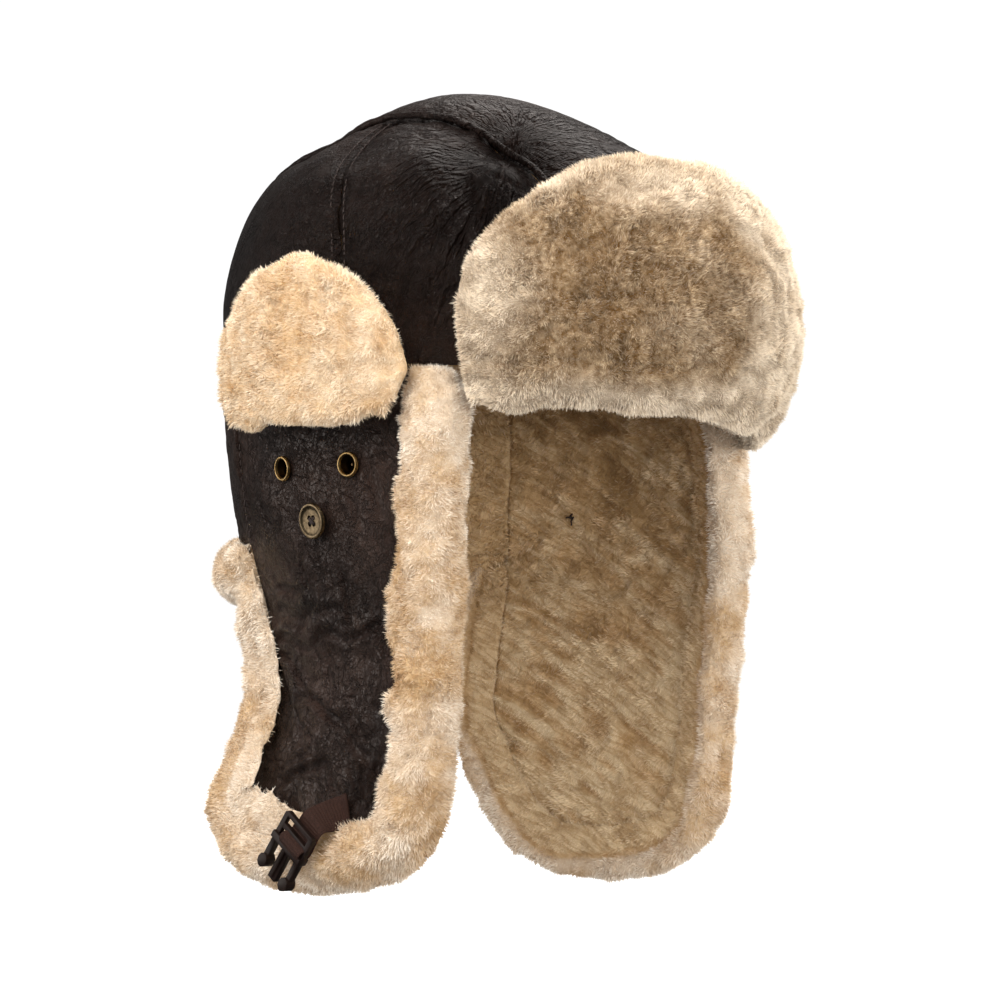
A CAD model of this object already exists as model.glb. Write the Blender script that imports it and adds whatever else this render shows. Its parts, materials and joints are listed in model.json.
import json
import math

import bmesh
import bpy
import numpy as np
from mathutils import Matrix, Vector

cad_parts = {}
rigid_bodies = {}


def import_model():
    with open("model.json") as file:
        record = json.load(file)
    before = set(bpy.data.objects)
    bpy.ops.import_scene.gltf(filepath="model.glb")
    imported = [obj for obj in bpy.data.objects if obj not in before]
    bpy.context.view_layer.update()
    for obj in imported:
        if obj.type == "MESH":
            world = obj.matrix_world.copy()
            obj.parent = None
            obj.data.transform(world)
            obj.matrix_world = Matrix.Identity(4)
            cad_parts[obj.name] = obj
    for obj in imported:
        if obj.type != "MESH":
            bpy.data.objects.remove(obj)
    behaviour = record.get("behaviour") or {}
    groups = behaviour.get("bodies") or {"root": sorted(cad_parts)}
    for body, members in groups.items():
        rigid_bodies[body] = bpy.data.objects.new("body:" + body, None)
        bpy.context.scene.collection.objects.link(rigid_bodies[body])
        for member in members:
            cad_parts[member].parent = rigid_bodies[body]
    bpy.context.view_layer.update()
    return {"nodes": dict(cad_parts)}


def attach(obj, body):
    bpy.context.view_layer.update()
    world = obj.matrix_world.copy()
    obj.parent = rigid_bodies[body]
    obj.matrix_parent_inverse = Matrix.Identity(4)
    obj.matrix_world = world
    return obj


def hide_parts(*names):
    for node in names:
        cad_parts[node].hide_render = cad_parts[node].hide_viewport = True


bl_info = {
    "name": "Shearling flying helmet",
    "version": (1, 0, 0),
    "blender": (4, 5, 0),
    "location": "View3D > Sidebar > Helmet",
    "description": "Dresses the packed helmet with leather, shearling, brass and webbing",
    "category": "Object",
}

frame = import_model()

MM = 0.001
DEGREES = math.pi / 180


# Sizes that the solids share, in millimetres

HIDE = 2.0
PILE = 9.0
SEAM_GAP = 0.4
LAY_GAP = 0.3
CROWN_HALF_WIDTH = 101.0
CROWN_HALF_LENGTH = 118.0
CROWN_RISE = 102.0
CROWN_HEM = 24.0
STRIP_HALF_WIDTH = 47.0
SEAM_SINK = 2.2
SEAM_SOFTNESS = 9.0
PIPING_RADIUS = 1.6
HEM_ANGLE = 12.0
SEAM_OVER = 92.0
SEAM_FOOT = 77.0
STITCH_OFFSET = 2.6
STRIP_ARC = 110.0
FLAP_RUN = 110.0
NAPE_RUN = 250.0
NAPE_DROP = 94.0
NAPE_TAPER = 7.0
FLAP_LENGTH = 191.0
FLAP_HALF_WIDTH = 50.0
FLAP_STANCE = CROWN_HALF_WIDTH - 14.0
FRONT_CORNER = 0.06
ROLL_RADIUS = 15.0
ROLL_INSET = 10.0
ROLL_PROUD = 1.5
INNER_SEAM = 14.0
WOOL_REACH = 1.6
NAPE_ROLL_RADIUS = 16.0
NAPE_ROLL_INSET = 9.0
VISOR_WRAP = 53.0
VISOR_HEIGHT = 100.0
VISOR_FOLD_DROP = 22.5
VISOR_SLANT = 5.0
VISOR_AIR = 4.0
VISOR_PILE = 25.0
COVER_HALF_WIDTH = 44.0
COVER_HEIGHT = 67.5
COVER_FOLD_DROP = 22.5
COVER_TURN = 86.0
COVER_AIR = 3.6
COVER_PILE = 14.0
EYELET_BORE = 3.0
EYELET_FLANGE = 5.4
EYELET_SPACING = 34.0
EYELET_DROP = 39.0
BUTTON_RADIUS = 7.6
BUTTON_THICKNESS = 2.6
BUTTON_DROP = 61.0
BUTTON_HOLE_RADIUS = 0.95
BUTTON_HOLE_PITCH = 1.75
BUTTON_SHANK = 1.8
BRASS_TURN = 87.7
KNOT_PLACE = np.array([83.6, 19.0, -169.0])
WEBBING_WIDTH = 14.0
WEBBING_THICKNESS = 1.4
BAR_THICKNESS = 2.2
STRAP_LEAD = 23.0
SOCKET_THICKNESS = 8.0
STRAP_FIRST_LEAN = 78.0
STRAP_LAST_LEAN = 38.0

# Relief of the leather, in millimetres

PUCKER_REACH = 13.0
PUCKER_DEPTH = 1.15
STITCH_GROOVE = 0.9
STITCH_GROOVE_WIDTH = 1.8
SWELLING = 0.9
SWELLING_SIZE = 34.0
CREASE_SIZE = 26.0
FINE_CREASE_SIZE = 12.0
LOW_CREASE_SIZE = 17.0

# Tufts and strands of the wool: sizes in millimetres, densities in strands a square millimetre

TUFT_DEPTH = 1.6
TUFT_SIZE = 9.0
ROLL_TUFT_DEPTH = 1.7
ROLL_TUFT_SIZE = 11.0
STRAND_WIDTH = 0.22
STRAND_SPREAD = 0.45
FLAP_LINING_DENSITY = 2.0
CROWN_LINING_DENSITY = 0.18
NAPE_LINING_DENSITY = 0.8
VISOR_DENSITY = 3.6
VISOR_STRAND = 2.3
COVER_DENSITY = 3.8
COVER_STRAND = 2.2

LINING_DEPTH = HIDE + LAY_GAP + PILE
WIDEST_Z = LINING_DEPTH - CROWN_RISE
HEM_Z = WIDEST_Z - CROWN_HEM


def table(columns, *rows):
    return tuple(dict(zip(columns, row)) for row in rows)


CROWN_OUTLINE = table(
    ("tilt", "front", "rear"),
    (0, 1.0, 1.0),
    (18, 1.003, 1.008),
    (35, 1.02, 1.03),
    (48, 0.985, 1.018),
    (60, 0.968, 1.003),
    (75, 0.983, 0.998),
    (90, 1.0, 1.0),
)
CROWN_DENTS = table(
    ("side", "turn", "across", "depth", "spread"),
    (-1, 50, 1.0, 0.05, 0.13),
    (-1, 112, 1.04, 0.035, 0.12),
    (-1, 74, 1.91, 0.022, 0.14),
    (1, 62, 1.0, 0.04, 0.13),
    (1, 118, 1.0, 0.035, 0.12),
)
FLAP_COLUMNS = ("drop", "front", "rear", "out_front", "out_rear", "belly")
RIGHT_FLAP = table(
    FLAP_COLUMNS,
    (0, 1.05, 1.14, 1.04, 1.0, 0.135),
    (0.2, 1.03, 1.125, 1.055, 0.98, 0.12),
    (0.38, 0.98, 1.07, 1.05, 0.935, 0.09),
    (0.52, 0.94, 0.98, 1.03, 0.88, 0.07),
    (0.7, 0.88, 0.95, 1.02, 0.83, 0.06),
    (0.86, 0.82, 1.08, 1.01, 0.89, 0.04),
    (1, 0.72, 1.16, 1.0, 0.98, 0.02),
)
LEFT_FLAP = table(
    FLAP_COLUMNS,
    (0, 1.12, 1.14, 1.04, 1.0, 0.135),
    (0.2, 1.17, 1.125, 1.06, 0.98, 0.12),
    (0.38, 1.17, 1.07, 1.08, 0.935, 0.09),
    (0.52, 1.13, 1.02, 1.07, 0.88, 0.07),
    (0.7, 1.05, 1.06, 1.05, 0.84, 0.05),
    (0.86, 1.02, 1.08, 1.04, 0.83, 0.04),
    (1, 0.95, 0.94, 1.02, 0.84, 0.03),
)
SIDES = (
    {"name": "right", "sign": -1.0, "rows": RIGHT_FLAP, "rear_corner": 0.06},
    {"name": "left", "sign": 1.0, "rows": LEFT_FLAP, "rear_corner": 0.2},
)


# Maths on arrays of points


def mix(a, b, share):
    return a + (b - a) * share


def smoothstep(x, low, high):
    t = np.clip((x - low) / (high - low), 0.0, 1.0)
    return t * t * (3 - 2 * t)


def points_of(x, y, z):
    return np.stack(np.broadcast_arrays(x, y, z), axis=-1).astype(float)


def length_of(v):
    return np.linalg.norm(v, axis=-1, keepdims=True)


def unit(v):
    return v / np.maximum(length_of(v), 1e-12)


def smooth_row(rows, key, at, column):
    """A smooth curve through the rows of a table, read at many values of its first column."""
    at = np.asarray(at, dtype=float)
    keys = np.array([row[key] for row in rows], dtype=float)
    values = np.array([row[column] for row in rows], dtype=float)
    i = np.clip(np.searchsorted(keys, at, side="left") - 1, 0, len(rows) - 2)
    before, after = np.maximum(i - 1, 0), np.minimum(i + 2, len(rows) - 1)
    run = keys[i + 1] - keys[i]
    t = (at - keys[i]) / run
    slope_a = (values[i + 1] - values[before]) / (keys[i + 1] - keys[before]) * run
    slope_b = (values[after] - values[i]) / (keys[after] - keys[i]) * run
    return (
        values[i] * (2 * t**3 - 3 * t**2 + 1)
        + slope_a * (t**3 - 2 * t**2 + t)
        + values[i + 1] * (3 * t**2 - 2 * t**3)
        + slope_b * (t**3 - t**2)
    )


class Noise:
    """Smooth noise from -1 to 1 over space, repeating after 32 cells."""

    def __init__(self, seed):
        self.table = np.random.RandomState(seed).uniform(-1, 1, (32, 32, 32))

    def __call__(self, p):
        cell = np.floor(p).astype(int)
        f = p - cell
        f = f * f * (3 - 2 * f)
        total = 0.0
        for dx in (0, 1):
            wx = f[..., 0] if dx else 1 - f[..., 0]
            for dy in (0, 1):
                wy = f[..., 1] if dy else 1 - f[..., 1]
                for dz in (0, 1):
                    wz = f[..., 2] if dz else 1 - f[..., 2]
                    i, j, k = ((cell[..., 0] + dx) & 31, (cell[..., 1] + dy) & 31, (cell[..., 2] + dz) & 31)
                    total = total + wx * wy * wz * self.table[i, j, k]
        return total * 1.6

    def layered(self, p, octaves=3):
        return sum(self(p * 2.03**k + 7.7 * k) * 0.55**k for k in range(octaves))


noise_a, noise_b, noise_c = Noise(11), Noise(23), Noise(37)


def drift(p, size):
    """A smooth vector noise."""
    return np.stack([noise_a(p / size), noise_b(p / size), noise_c(p / size)], axis=-1)


def furrows(value, width):
    """Narrow valleys, from 0 to 1, where a noise crosses zero."""
    return np.exp(-((value / width) ** 2))


# The head's shell, as in the solids


def outward_at(p):
    rise = np.maximum(p[..., 2] - WIDEST_Z, 0) / CROWN_RISE**2
    return unit(points_of(p[..., 0] / CROWN_HALF_WIDTH**2, p[..., 1] / CROWN_HALF_LENGTH**2, rise))


def shell_point(sign, turn, tilt, drop):
    """A place on the crown: turned from the brow, tilted up the dome and dropped below it."""
    turn, tilt, drop = np.broadcast_arrays(*(np.asarray(a, dtype=float) for a in (turn, tilt, drop)))
    rear_share = (1 - np.cos(turn * DEGREES)) / 2
    front = smooth_row(CROWN_OUTLINE, "tilt", tilt, "front")
    rear = smooth_row(CROWN_OUTLINE, "tilt", tilt, "rear")
    outline = mix(front, rear, rear_share)
    reach = outline * np.cos(tilt * DEGREES) - NAPE_TAPER / CROWN_HALF_WIDTH * (drop / NAPE_DROP) ** 2
    return points_of(
        sign * CROWN_HALF_WIDTH * reach * np.sin(turn * DEGREES),
        -CROWN_HALF_LENGTH * reach * np.cos(turn * DEGREES),
        WIDEST_Z + CROWN_RISE * outline * np.sin(tilt * DEGREES) - drop,
    )


def strip_direction(share, over):
    """The turn and tilt of a place on the strip, by its share across and its angle over from the brow."""
    x = np.asarray(share, dtype=float) * STRIP_HALF_WIDTH / CROWN_HALF_WIDTH
    rest = np.sqrt(1 - x * x)
    y, z = np.cos(over * DEGREES) * rest, np.sin(over * DEGREES) * rest
    return np.arctan2(np.abs(x), y) / DEGREES, np.arcsin(np.clip(z, -1, 1)) / DEGREES


def strip_point(share, over):
    share, over = np.broadcast_arrays(np.asarray(share, dtype=float), np.asarray(over, dtype=float))
    below = np.maximum(np.maximum(-over, over - 180), 0) / HEM_ANGLE
    turn, tilt = strip_direction(share, np.clip(over, 0, 180))
    return shell_point(np.where(share < 0, -1.0, 1.0), turn, tilt, below * CROWN_HEM)


def seam_hollow(distance):
    return np.exp(-((distance / SEAM_SOFTNESS) ** 2))


def dent_depth(p):
    depth = np.zeros(p.shape[:-1])
    for dent in CROWN_DENTS:
        past = max(dent["across"] - 1, 0) * (CROWN_HALF_WIDTH / STRIP_HALF_WIDTH - 1)
        at = strip_point(dent["side"] * (min(dent["across"], 1) + past), dent["turn"])
        spread = dent["spread"] * CROWN_RISE
        depth += dent["depth"] * CROWN_RISE * np.exp(-(length_of(p - at)[..., 0] ** 2) / (2 * spread**2))
    return depth


def drawn_in(p, seam_share):
    """Places of the crown sunk at its seams and dents."""
    return p - outward_at(p) * (SEAM_SINK * seam_share + dent_depth(p))[..., None]


def crown_under(sign, turn, height):
    """A place on the crown at a height over its hem; pads are laid on it."""
    above = np.maximum(height - CROWN_HEM, 0)
    tilt = np.minimum(above / CROWN_RISE / DEGREES, 88)
    return shell_point(sign, turn, tilt, CROWN_HEM - np.minimum(height, CROWN_HEM))


def flap_surface(side):
    """A flap's outer face, with u from its front edge to its rear and v from its seam down."""

    def surface(u, v):
        u, v = np.broadcast_arrays(np.asarray(u, dtype=float), np.asarray(v, dtype=float))
        row = {c: smooth_row(side["rows"], "drop", v, c) for c in FLAP_COLUMNS[1:]}
        front, rear = row["front"] * FLAP_HALF_WIDTH, row["rear"] * FLAP_HALF_WIDTH
        out = mix(row["out_front"], row["out_rear"], u) + row["belly"] * 4 * u * (1 - u)
        rise = np.where(u < 0.5, FRONT_CORNER, side["rear_corner"])
        corner = rise * np.abs(2 * u - 1) ** 3 * v**3
        z = HEM_Z - SEAM_GAP - FLAP_LENGTH * (v - corner)
        return points_of(side["sign"] * out * FLAP_STANCE, mix(-front, rear, u), z)

    return surface


def flap_place(rows, turn, drop_down):
    """The u and v of a place on a flap."""
    v = drop_down / FLAP_LENGTH
    front, rear = (float(smooth_row(rows, "drop", v, c)) * FLAP_HALF_WIDTH for c in ("front", "rear"))
    y = -CROWN_HALF_LENGTH * math.cos(turn * DEGREES)
    return (y + front) / (front + rear), v


def nape_surface(u, v):
    u, v = np.broadcast_arrays(np.asarray(u, dtype=float), np.asarray(v, dtype=float))
    drop = mix(CROWN_HEM + SEAM_GAP, NAPE_DROP, v)
    reach = 1 - NAPE_TAPER / CROWN_HALF_WIDTH * (drop / NAPE_DROP) ** 2
    flap_rear = smooth_row(RIGHT_FLAP, "drop", (drop - CROWN_HEM) / FLAP_LENGTH, "rear") * FLAP_HALF_WIDTH
    start = 180 - np.arccos((flap_rear + SEAM_GAP) / (CROWN_HALF_LENGTH * reach)) / DEGREES
    return shell_point(-1.0, mix(start, 360 - start, u), 0.0, drop)


def facing_at(surface, u, v):
    """The way a flap's leather faces at one place."""
    step = 1e-3
    across = surface(u + step, v) - surface(u - step, v)
    down = surface(u, v + step) - surface(u, v - step)
    normal = unit(np.cross(across, down))
    inside = np.array([0, 0, HEM_Z - FLAP_LENGTH / 2])
    return normal if np.dot(normal, surface(u, v) - inside) > 0 else -normal


# Meshes


def shaded_smooth(mesh):
    mesh.polygons.foreach_set("use_smooth", [True] * len(mesh.polygons))
    return mesh


def mesh_from(name, vertices, faces):
    """A mesh in metres from points in millimetres."""
    mesh = bpy.data.meshes.new(name)
    mesh.from_pydata((np.asarray(vertices) * MM).tolist(), [], [tuple(map(int, f)) for f in faces])
    mesh.update()
    return shaded_smooth(mesh)


def linked(name, data):
    """A new object at the origin."""
    obj = bpy.data.objects.new(name, data)
    bpy.context.collection.objects.link(obj)
    return obj


def evaluated(obj):
    """The mesh that an object's modifiers make."""
    graph = bpy.context.evaluated_depsgraph_get()
    graph.update()
    return bpy.data.meshes.new_from_object(obj.evaluated_get(graph))


def grid(across, down, u_range=(0, 1), v_range=(0, 1)):
    """The two parameters of a surface, on a grid."""
    return np.meshgrid(np.linspace(*u_range, across), np.linspace(*v_range, down))


def bored(mesh, cutters):
    """The mesh with holes cut by other meshes."""
    obj = linked("to_bore", mesh)
    tools = [linked("bore", cutter) for cutter in cutters]
    for tool in tools:
        modifier = obj.modifiers.new("bore", "BOOLEAN")
        modifier.operation = "DIFFERENCE"
        modifier.solver = "EXACT"
        modifier.object = tool
    made = evaluated(obj)
    made.name = mesh.name
    for used in (obj, *tools):
        bpy.data.objects.remove(used)
    return shaded_smooth(made)


def grid_faces(rows, columns, start=0, around=False):
    i, j = np.meshgrid(np.arange(rows - 1), np.arange(columns if around else columns - 1), indexing="ij")
    right = (j + 1) % columns
    a, b = start + i * columns + j, start + i * columns + right
    c, d = start + (i + 1) * columns + right, start + (i + 1) * columns + j
    return np.stack([a, d, c, b], axis=-1).reshape(-1, 4)


def marked(mesh, label, values):
    """Stores a number for each of a mesh's points."""
    data = np.ascontiguousarray(np.broadcast_to(np.asarray(values, dtype=float), (len(mesh.vertices),)))
    mesh.attributes.new(label, "FLOAT", "POINT").data.foreach_set("value", data)


def shell_mesh(name, outer, inner, **marks):
    """The closed wall between two grids of points, with grids of numbers stored on both sides of it."""
    rows, columns = outer.shape[:2]
    size = rows * columns
    vertices = np.concatenate([outer.reshape(-1, 3), inner.reshape(-1, 3)])
    top = grid_faces(rows, columns)
    bottom = grid_faces(rows, columns, size)[:, ::-1]
    rim = np.concatenate(
        [
            np.arange(columns),
            np.arange(1, rows) * columns + columns - 1,
            (rows - 1) * columns + np.arange(columns - 2, -1, -1),
            np.arange(rows - 2, 0, -1) * columns,
        ]
    )
    ahead = np.roll(rim, -1)
    sides = np.stack([rim, ahead, ahead + size, rim + size], axis=-1)
    mesh = closed_mesh(name, vertices, np.concatenate([top, bottom, sides]))
    for label, values in marks.items():
        marked(mesh, label, np.tile(np.broadcast_to(values, (rows, columns)).ravel(), 2))
    return mesh


def closed_mesh(name, vertices, faces):
    """A closed mesh whose faces look outwards."""
    mesh = mesh_from(name, vertices, faces)
    bm = bmesh.new()
    bm.from_mesh(mesh)
    bmesh.ops.recalc_face_normals(bm, faces=bm.faces)
    if bm.calc_volume(signed=True) < 0:
        bmesh.ops.reverse_faces(bm, faces=bm.faces)
    bm.to_mesh(mesh)
    bm.free()
    return mesh


def object_from(name, mesh, material, slot, *nodes):
    """Puts a finished mesh in the scene as a piece that stands for CAD nodes."""
    mesh.materials.clear()
    mesh.materials.append(material)
    as_piece(linked(name, mesh), slot, *nodes)


def as_piece(obj, slot, *nodes):
    """Makes an object a visual piece that replaces the CAD nodes it stands for."""
    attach(obj, "root")
    if nodes:
        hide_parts(*nodes)


def lathe(profile, segments):
    """A mesh in millimetres round +Z from (radius, height) rows; it closes at both ends."""
    angle = ring_angles(segments)
    rings, vertices = [], []
    for radius, height in profile:
        if radius < 1e-6:
            rings.append([len(vertices)] * segments)
            vertices.append((0, 0, height))
        else:
            rings.append([len(vertices) + k for k in range(segments)])
            vertices += [(radius * math.cos(a), radius * math.sin(a), height) for a in angle]
    faces = []
    for low, high in zip(rings[:-1], rings[1:]):
        for k in range(segments):
            n = (k + 1) % segments
            face = list(dict.fromkeys([low[k], low[n], high[n], high[k]]))
            if len(face) > 2:
                faces.append(face)
    return np.array(vertices, dtype=float), faces


def bore_rod(radius, reach, segments):
    """A rod along Z for cutting a bore."""
    return lathe([(0, -reach), (radius, -reach), (radius, reach), (0, reach)], segments)


def placed(vertices, origin, up):
    """Points turned so that their Z is up and their Y as upright as it can be."""
    upright = np.array([0, 0, 1.0])
    z = unit(np.asarray(up, dtype=float))
    y = unit(upright - z * np.dot(upright, z))
    x = np.cross(y, z)
    return np.asarray(origin) + vertices @ np.stack([x, y, z])


def mesh_placed(mesh, origin, up):
    """A mesh whose points are placed as above."""
    co = np.zeros(len(mesh.vertices) * 3)
    mesh.vertices.foreach_get("co", co)
    moved = placed(co.reshape(-1, 3) / MM, origin, up) * MM
    mesh.vertices.foreach_set("co", moved.ravel())
    return mesh


def ring_angles(count):
    return np.arange(count) / count * 2 * np.pi


def run_along(points):
    """The distance from the first point to each point of a line."""
    return np.concatenate([[0], np.cumsum(length_of(np.diff(points, axis=0))[:, 0])])


def rounded_curve(points, steps):
    """Evenly spaced points on a smooth line through the given ones."""
    points = np.asarray(points, dtype=float)
    padded = np.concatenate([2 * points[:1] - points[1:2], points, 2 * points[-1:] - points[-2:-1]])
    fine = []
    for i in range(len(points) - 1):
        p0, p1, p2, p3 = padded[i : i + 4]
        t = np.linspace(0, 1, 12, endpoint=False)[:, None]
        square, cube = 2 * p0 - 5 * p1 + 4 * p2 - p3, 3 * p1 - p0 - 3 * p2 + p3
        fine.append(0.5 * (2 * p1 + (p2 - p0) * t + square * t**2 + cube * t**3))
    fine = np.concatenate(fine + [points[-1:]])
    run = run_along(fine[:, :3])
    at = np.linspace(0, run[-1], steps)
    return np.stack([np.interp(at, run, fine[:, k]) for k in range(fine.shape[1])], axis=-1)


# Shader maths


class Value:
    """A shader socket with maths on it."""

    def __init__(self, tree, socket):
        self.tree = tree
        self.socket = socket

    def _math(self, operation, *others):
        return self.tree.node("ShaderNodeMath", {"operation": operation}, *others)

    def __add__(self, other):
        return self._math("ADD", self, other)

    __radd__ = __add__

    def __mul__(self, other):
        return self._math("MULTIPLY", self, other)

    __rmul__ = __mul__

    def __sub__(self, other):
        return self._math("SUBTRACT", self, other)

    def __rsub__(self, other):
        return self._math("SUBTRACT", other, self)

    def __pow__(self, other):
        return self._math("POWER", self, other)

    def __truediv__(self, other):
        return self._math("DIVIDE", self, other)

    def __abs__(self):
        return self._math("ABSOLUTE", self)

    def bell(self):
        """1 at zero, and falling away on both sides."""
        return self._math("EXPONENT", self * self * -1)


class Finish:
    """A material whose nodes are made one call at a time."""

    def __init__(self, name):
        self.material = bpy.data.materials.new(name)
        self.material.use_nodes = True
        self.nodes = self.material.node_tree.nodes
        self.links = self.material.node_tree.links
        self.nodes.clear()
        self.output = self.nodes.new("ShaderNodeOutputMaterial")
        self.object_place = self.node("ShaderNodeTexCoord", out="Object")

    def node(self, kind, settings=None, *values, out=0, **named):
        """A node of any type: its settings first, then its sockets by order or by name."""
        made = self.nodes.new(kind)
        for key, value in (settings or {}).items():
            setattr(made, key, value)
        for key, value in [*enumerate(values), *((k.replace("_", " "), v) for k, v in named.items())]:
            socket = made.inputs[key]
            if isinstance(value, Value):
                self.links.new(value.socket, socket)
            elif value is not None:
                socket.default_value = value
        return Value(self, made.outputs[out])

    def attribute(self, name):
        return self.node("ShaderNodeAttribute", {"attribute_name": name}, out="Fac")

    def noise(self, scale, detail=2.0, roughness=0.5, distortion=0.0, place=None):
        kind, place = "ShaderNodeTexNoise", place or self.object_place
        numbers = {"Scale": scale, "Detail": detail, "Roughness": roughness, "Distortion": distortion}
        return self.node(kind, Vector=place, **numbers)

    def vector_maths(self, operation, *values, **named):
        return self.node("ShaderNodeVectorMath", {"operation": operation}, *values, **named)

    def warped(self, place, scale, amount):
        """A place moved about by a noise."""
        colour = self.node("ShaderNodeTexNoise", out=1, Vector=place, Scale=scale)
        centred = self.vector_maths("SUBTRACT", colour, (0.5, 0.5, 0.5))
        return self.vector_maths("ADD", place, self.vector_maths("SCALE", centred, Scale=amount))

    def joined(self, x, y, z):
        return self.node("ShaderNodeCombineXYZ", None, x, y, z)

    def parted(self):
        """The three parts of the object's place."""
        parts = self.node("ShaderNodeSeparateXYZ", None, self.object_place).socket.node
        return [Value(self, socket) for socket in parts.outputs]

    def lines(self, value, width):
        """1 where a noise crosses its middle, falling to 0 at a width from there."""
        return self.span(abs(value - 0.5), 0.0, width, 1.0, 0.0)

    def fan(self, place, centre, facing, reach, rays):
        """Creases, from 0 to 1, that run out of a pinched place and fade with the distance."""
        z = unit(np.array(facing, dtype=float))
        x = unit(np.cross(z, (0, 0, 1)))
        y = np.cross(z, x)
        away = self.vector_maths("SUBTRACT", place, tuple(c * MM for c in centre))
        across, along = (self.vector_maths("DOT_PRODUCT", away, tuple(way), out=1) for way in (x, y))
        far = (across * across + along * along + 1e-8) ** 0.5
        spokes = self.joined(across / far * rays, along / far * rays, far * 55)
        crease = self.lines(self.noise(1.0, 3.0, 0.6, 0.3, spokes), 0.1)
        return crease * self.span(far, 0.002, 0.009) * (far * (1 / (reach * MM))).bell()

    def cells(self, scale, feature, place):
        return self.node("ShaderNodeTexVoronoi", {"feature": feature}, Vector=place, Scale=scale)

    def span(self, value, low, high, to_low=0.0, to_high=1.0):
        return self.node("ShaderNodeMapRange", None, value, low, high, to_low, to_high)

    def blend(self, share, a, b):
        """Two colours, mixed by a share."""
        made = self.node("ShaderNodeMix", {"data_type": "RGBA", "clamp_factor": True}, share, out=2)
        for socket, value in zip(made.socket.node.inputs[6:8], (a, b)):
            if isinstance(value, Value):
                self.links.new(value.socket, socket)
            else:
                socket.default_value = (*value, 1)
        return made

    def bump(self, height, distance, strength=1.0):
        return self.node("ShaderNodeBump", Height=height, Distance=distance, Strength=strength)

    def surface(self, **sockets):
        return self.node("ShaderNodeBsdfPrincipled", None, **sockets)

    def done(self, shader):
        self.links.new(shader.socket, self.output.inputs["Surface"])
        return self.material


def srgb(red, green, blue):
    """A colour from screen values of 0 to 255."""

    def linear(c):
        c /= 255
        return c / 12.92 if c <= 0.04045 else ((c + 0.055) / 1.055) ** 2.4

    return (linear(red), linear(green), linear(blue))


# Colours of the fleece: between its tufts, tan ends and cream ends
VISOR_WOOL = srgb(116, 86, 52), srgb(228, 204, 168), srgb(254, 241, 220)
TRIM_WOOL = srgb(190, 156, 112), srgb(226, 205, 174), srgb(250, 243, 231)
COVER_WOOL = srgb(212, 176, 126), srgb(232, 212, 178), srgb(246, 236, 218)
LINING_WOOL = srgb(176, 142, 98), srgb(232, 200, 156), srgb(248, 230, 196)

# Pinched places of the crown's leather, in millimetres on the wearer's left; the right has the same
LEATHER_FANS = table(
    ("centre", "facing", "reach", "rays", "depth"),
    ((53.7, -69.7, -31.4), (0.35, -0.45, 0.82), 46, 4.6, 5.0),
    ((36.1, -59.1, -17.6), (0.59, -0.4, 0.7), 34, 4.4, 4.5),
    ((73.4, 10.9, -22.4), (0.69, -0.01, 0.72), 14, 5.0, 0.6),
    ((71.9, 44.9, -27.4), (0.75, 0.22, 0.63), 10, 4.0, 0.4),
)


def leather_finish():
    """Dark brown sheepskin leather: fine creases, puckers along its seams and fans at its pinched places."""
    m = Finish("creased_leather")
    place = m.warped(m.object_place, 60, 0.004)
    gather, run = m.attribute("gather"), m.attribute("run")
    fine = m.lines(m.noise(300, 3.0, 0.6, 0.4, place), 0.06)
    creases = m.lines(m.noise(120, 4.0, 0.62, 0.5, place), 0.03)
    cracks = m.span(m.cells(520, "DISTANCE_TO_EDGE", m.warped(place, 300, 0.0022)), 0.0, 0.08, 1.0, 0.0)
    pebbles = m.cells(1700, "SMOOTH_F1", place)
    puckers = m.noise(1.0, 3.0, 0.6, 0.5, m.joined(run * 0.42, gather * 2.0, gather * 0.5))
    puckers = m.lines(puckers, 0.11) * gather
    x, y, z = m.parted()
    mirrored = m.joined(abs(x), y, z)
    fans = 0.0
    for row in LEATHER_FANS:
        fan = m.fan(mirrored, row["centre"], row["facing"], row["reach"], row["rays"])
        fans = fan * row["depth"] + fans
    blotch = m.noise(22, 3.0)
    worn = m.span(m.noise(70, 4.0, 0.6), 0.5, 0.72)
    dark, brown, bare = srgb(24, 16, 13), srgb(42, 30, 25), srgb(90, 72, 62)
    colour = m.blend(m.span(blotch, 0.35, 0.68), dark, brown)
    colour = m.blend(worn * 0.12 + cracks * 0.06, colour, bare)
    on_crown = m.span(z, -0.115, -0.085) * m.span(z, -0.06, -0.01, 0.82, 0.55)
    colour = m.blend(on_crown, colour, srgb(9, 4, 3))
    colour = m.blend((fine * 0.4 + creases * 0.6) * 0.6, colour, srgb(10, 7, 6))
    height = (m.noise(900, 2.0) - pebbles * 0.5) * 0.1 - fine * 0.2 - creases * 0.5 - cracks * 0.14
    height = height - puckers * 0.5 - fans
    roughness = m.span(blotch, 0.3, 0.7, 0.25, 0.36) + creases * 0.1
    return m.done(
        m.surface(
            Base_Color=colour,
            Roughness=roughness,
            Normal=m.bump(height, 0.001, 1.0),
            Specular_IOR_Level=0.32,
        )
    )


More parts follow.
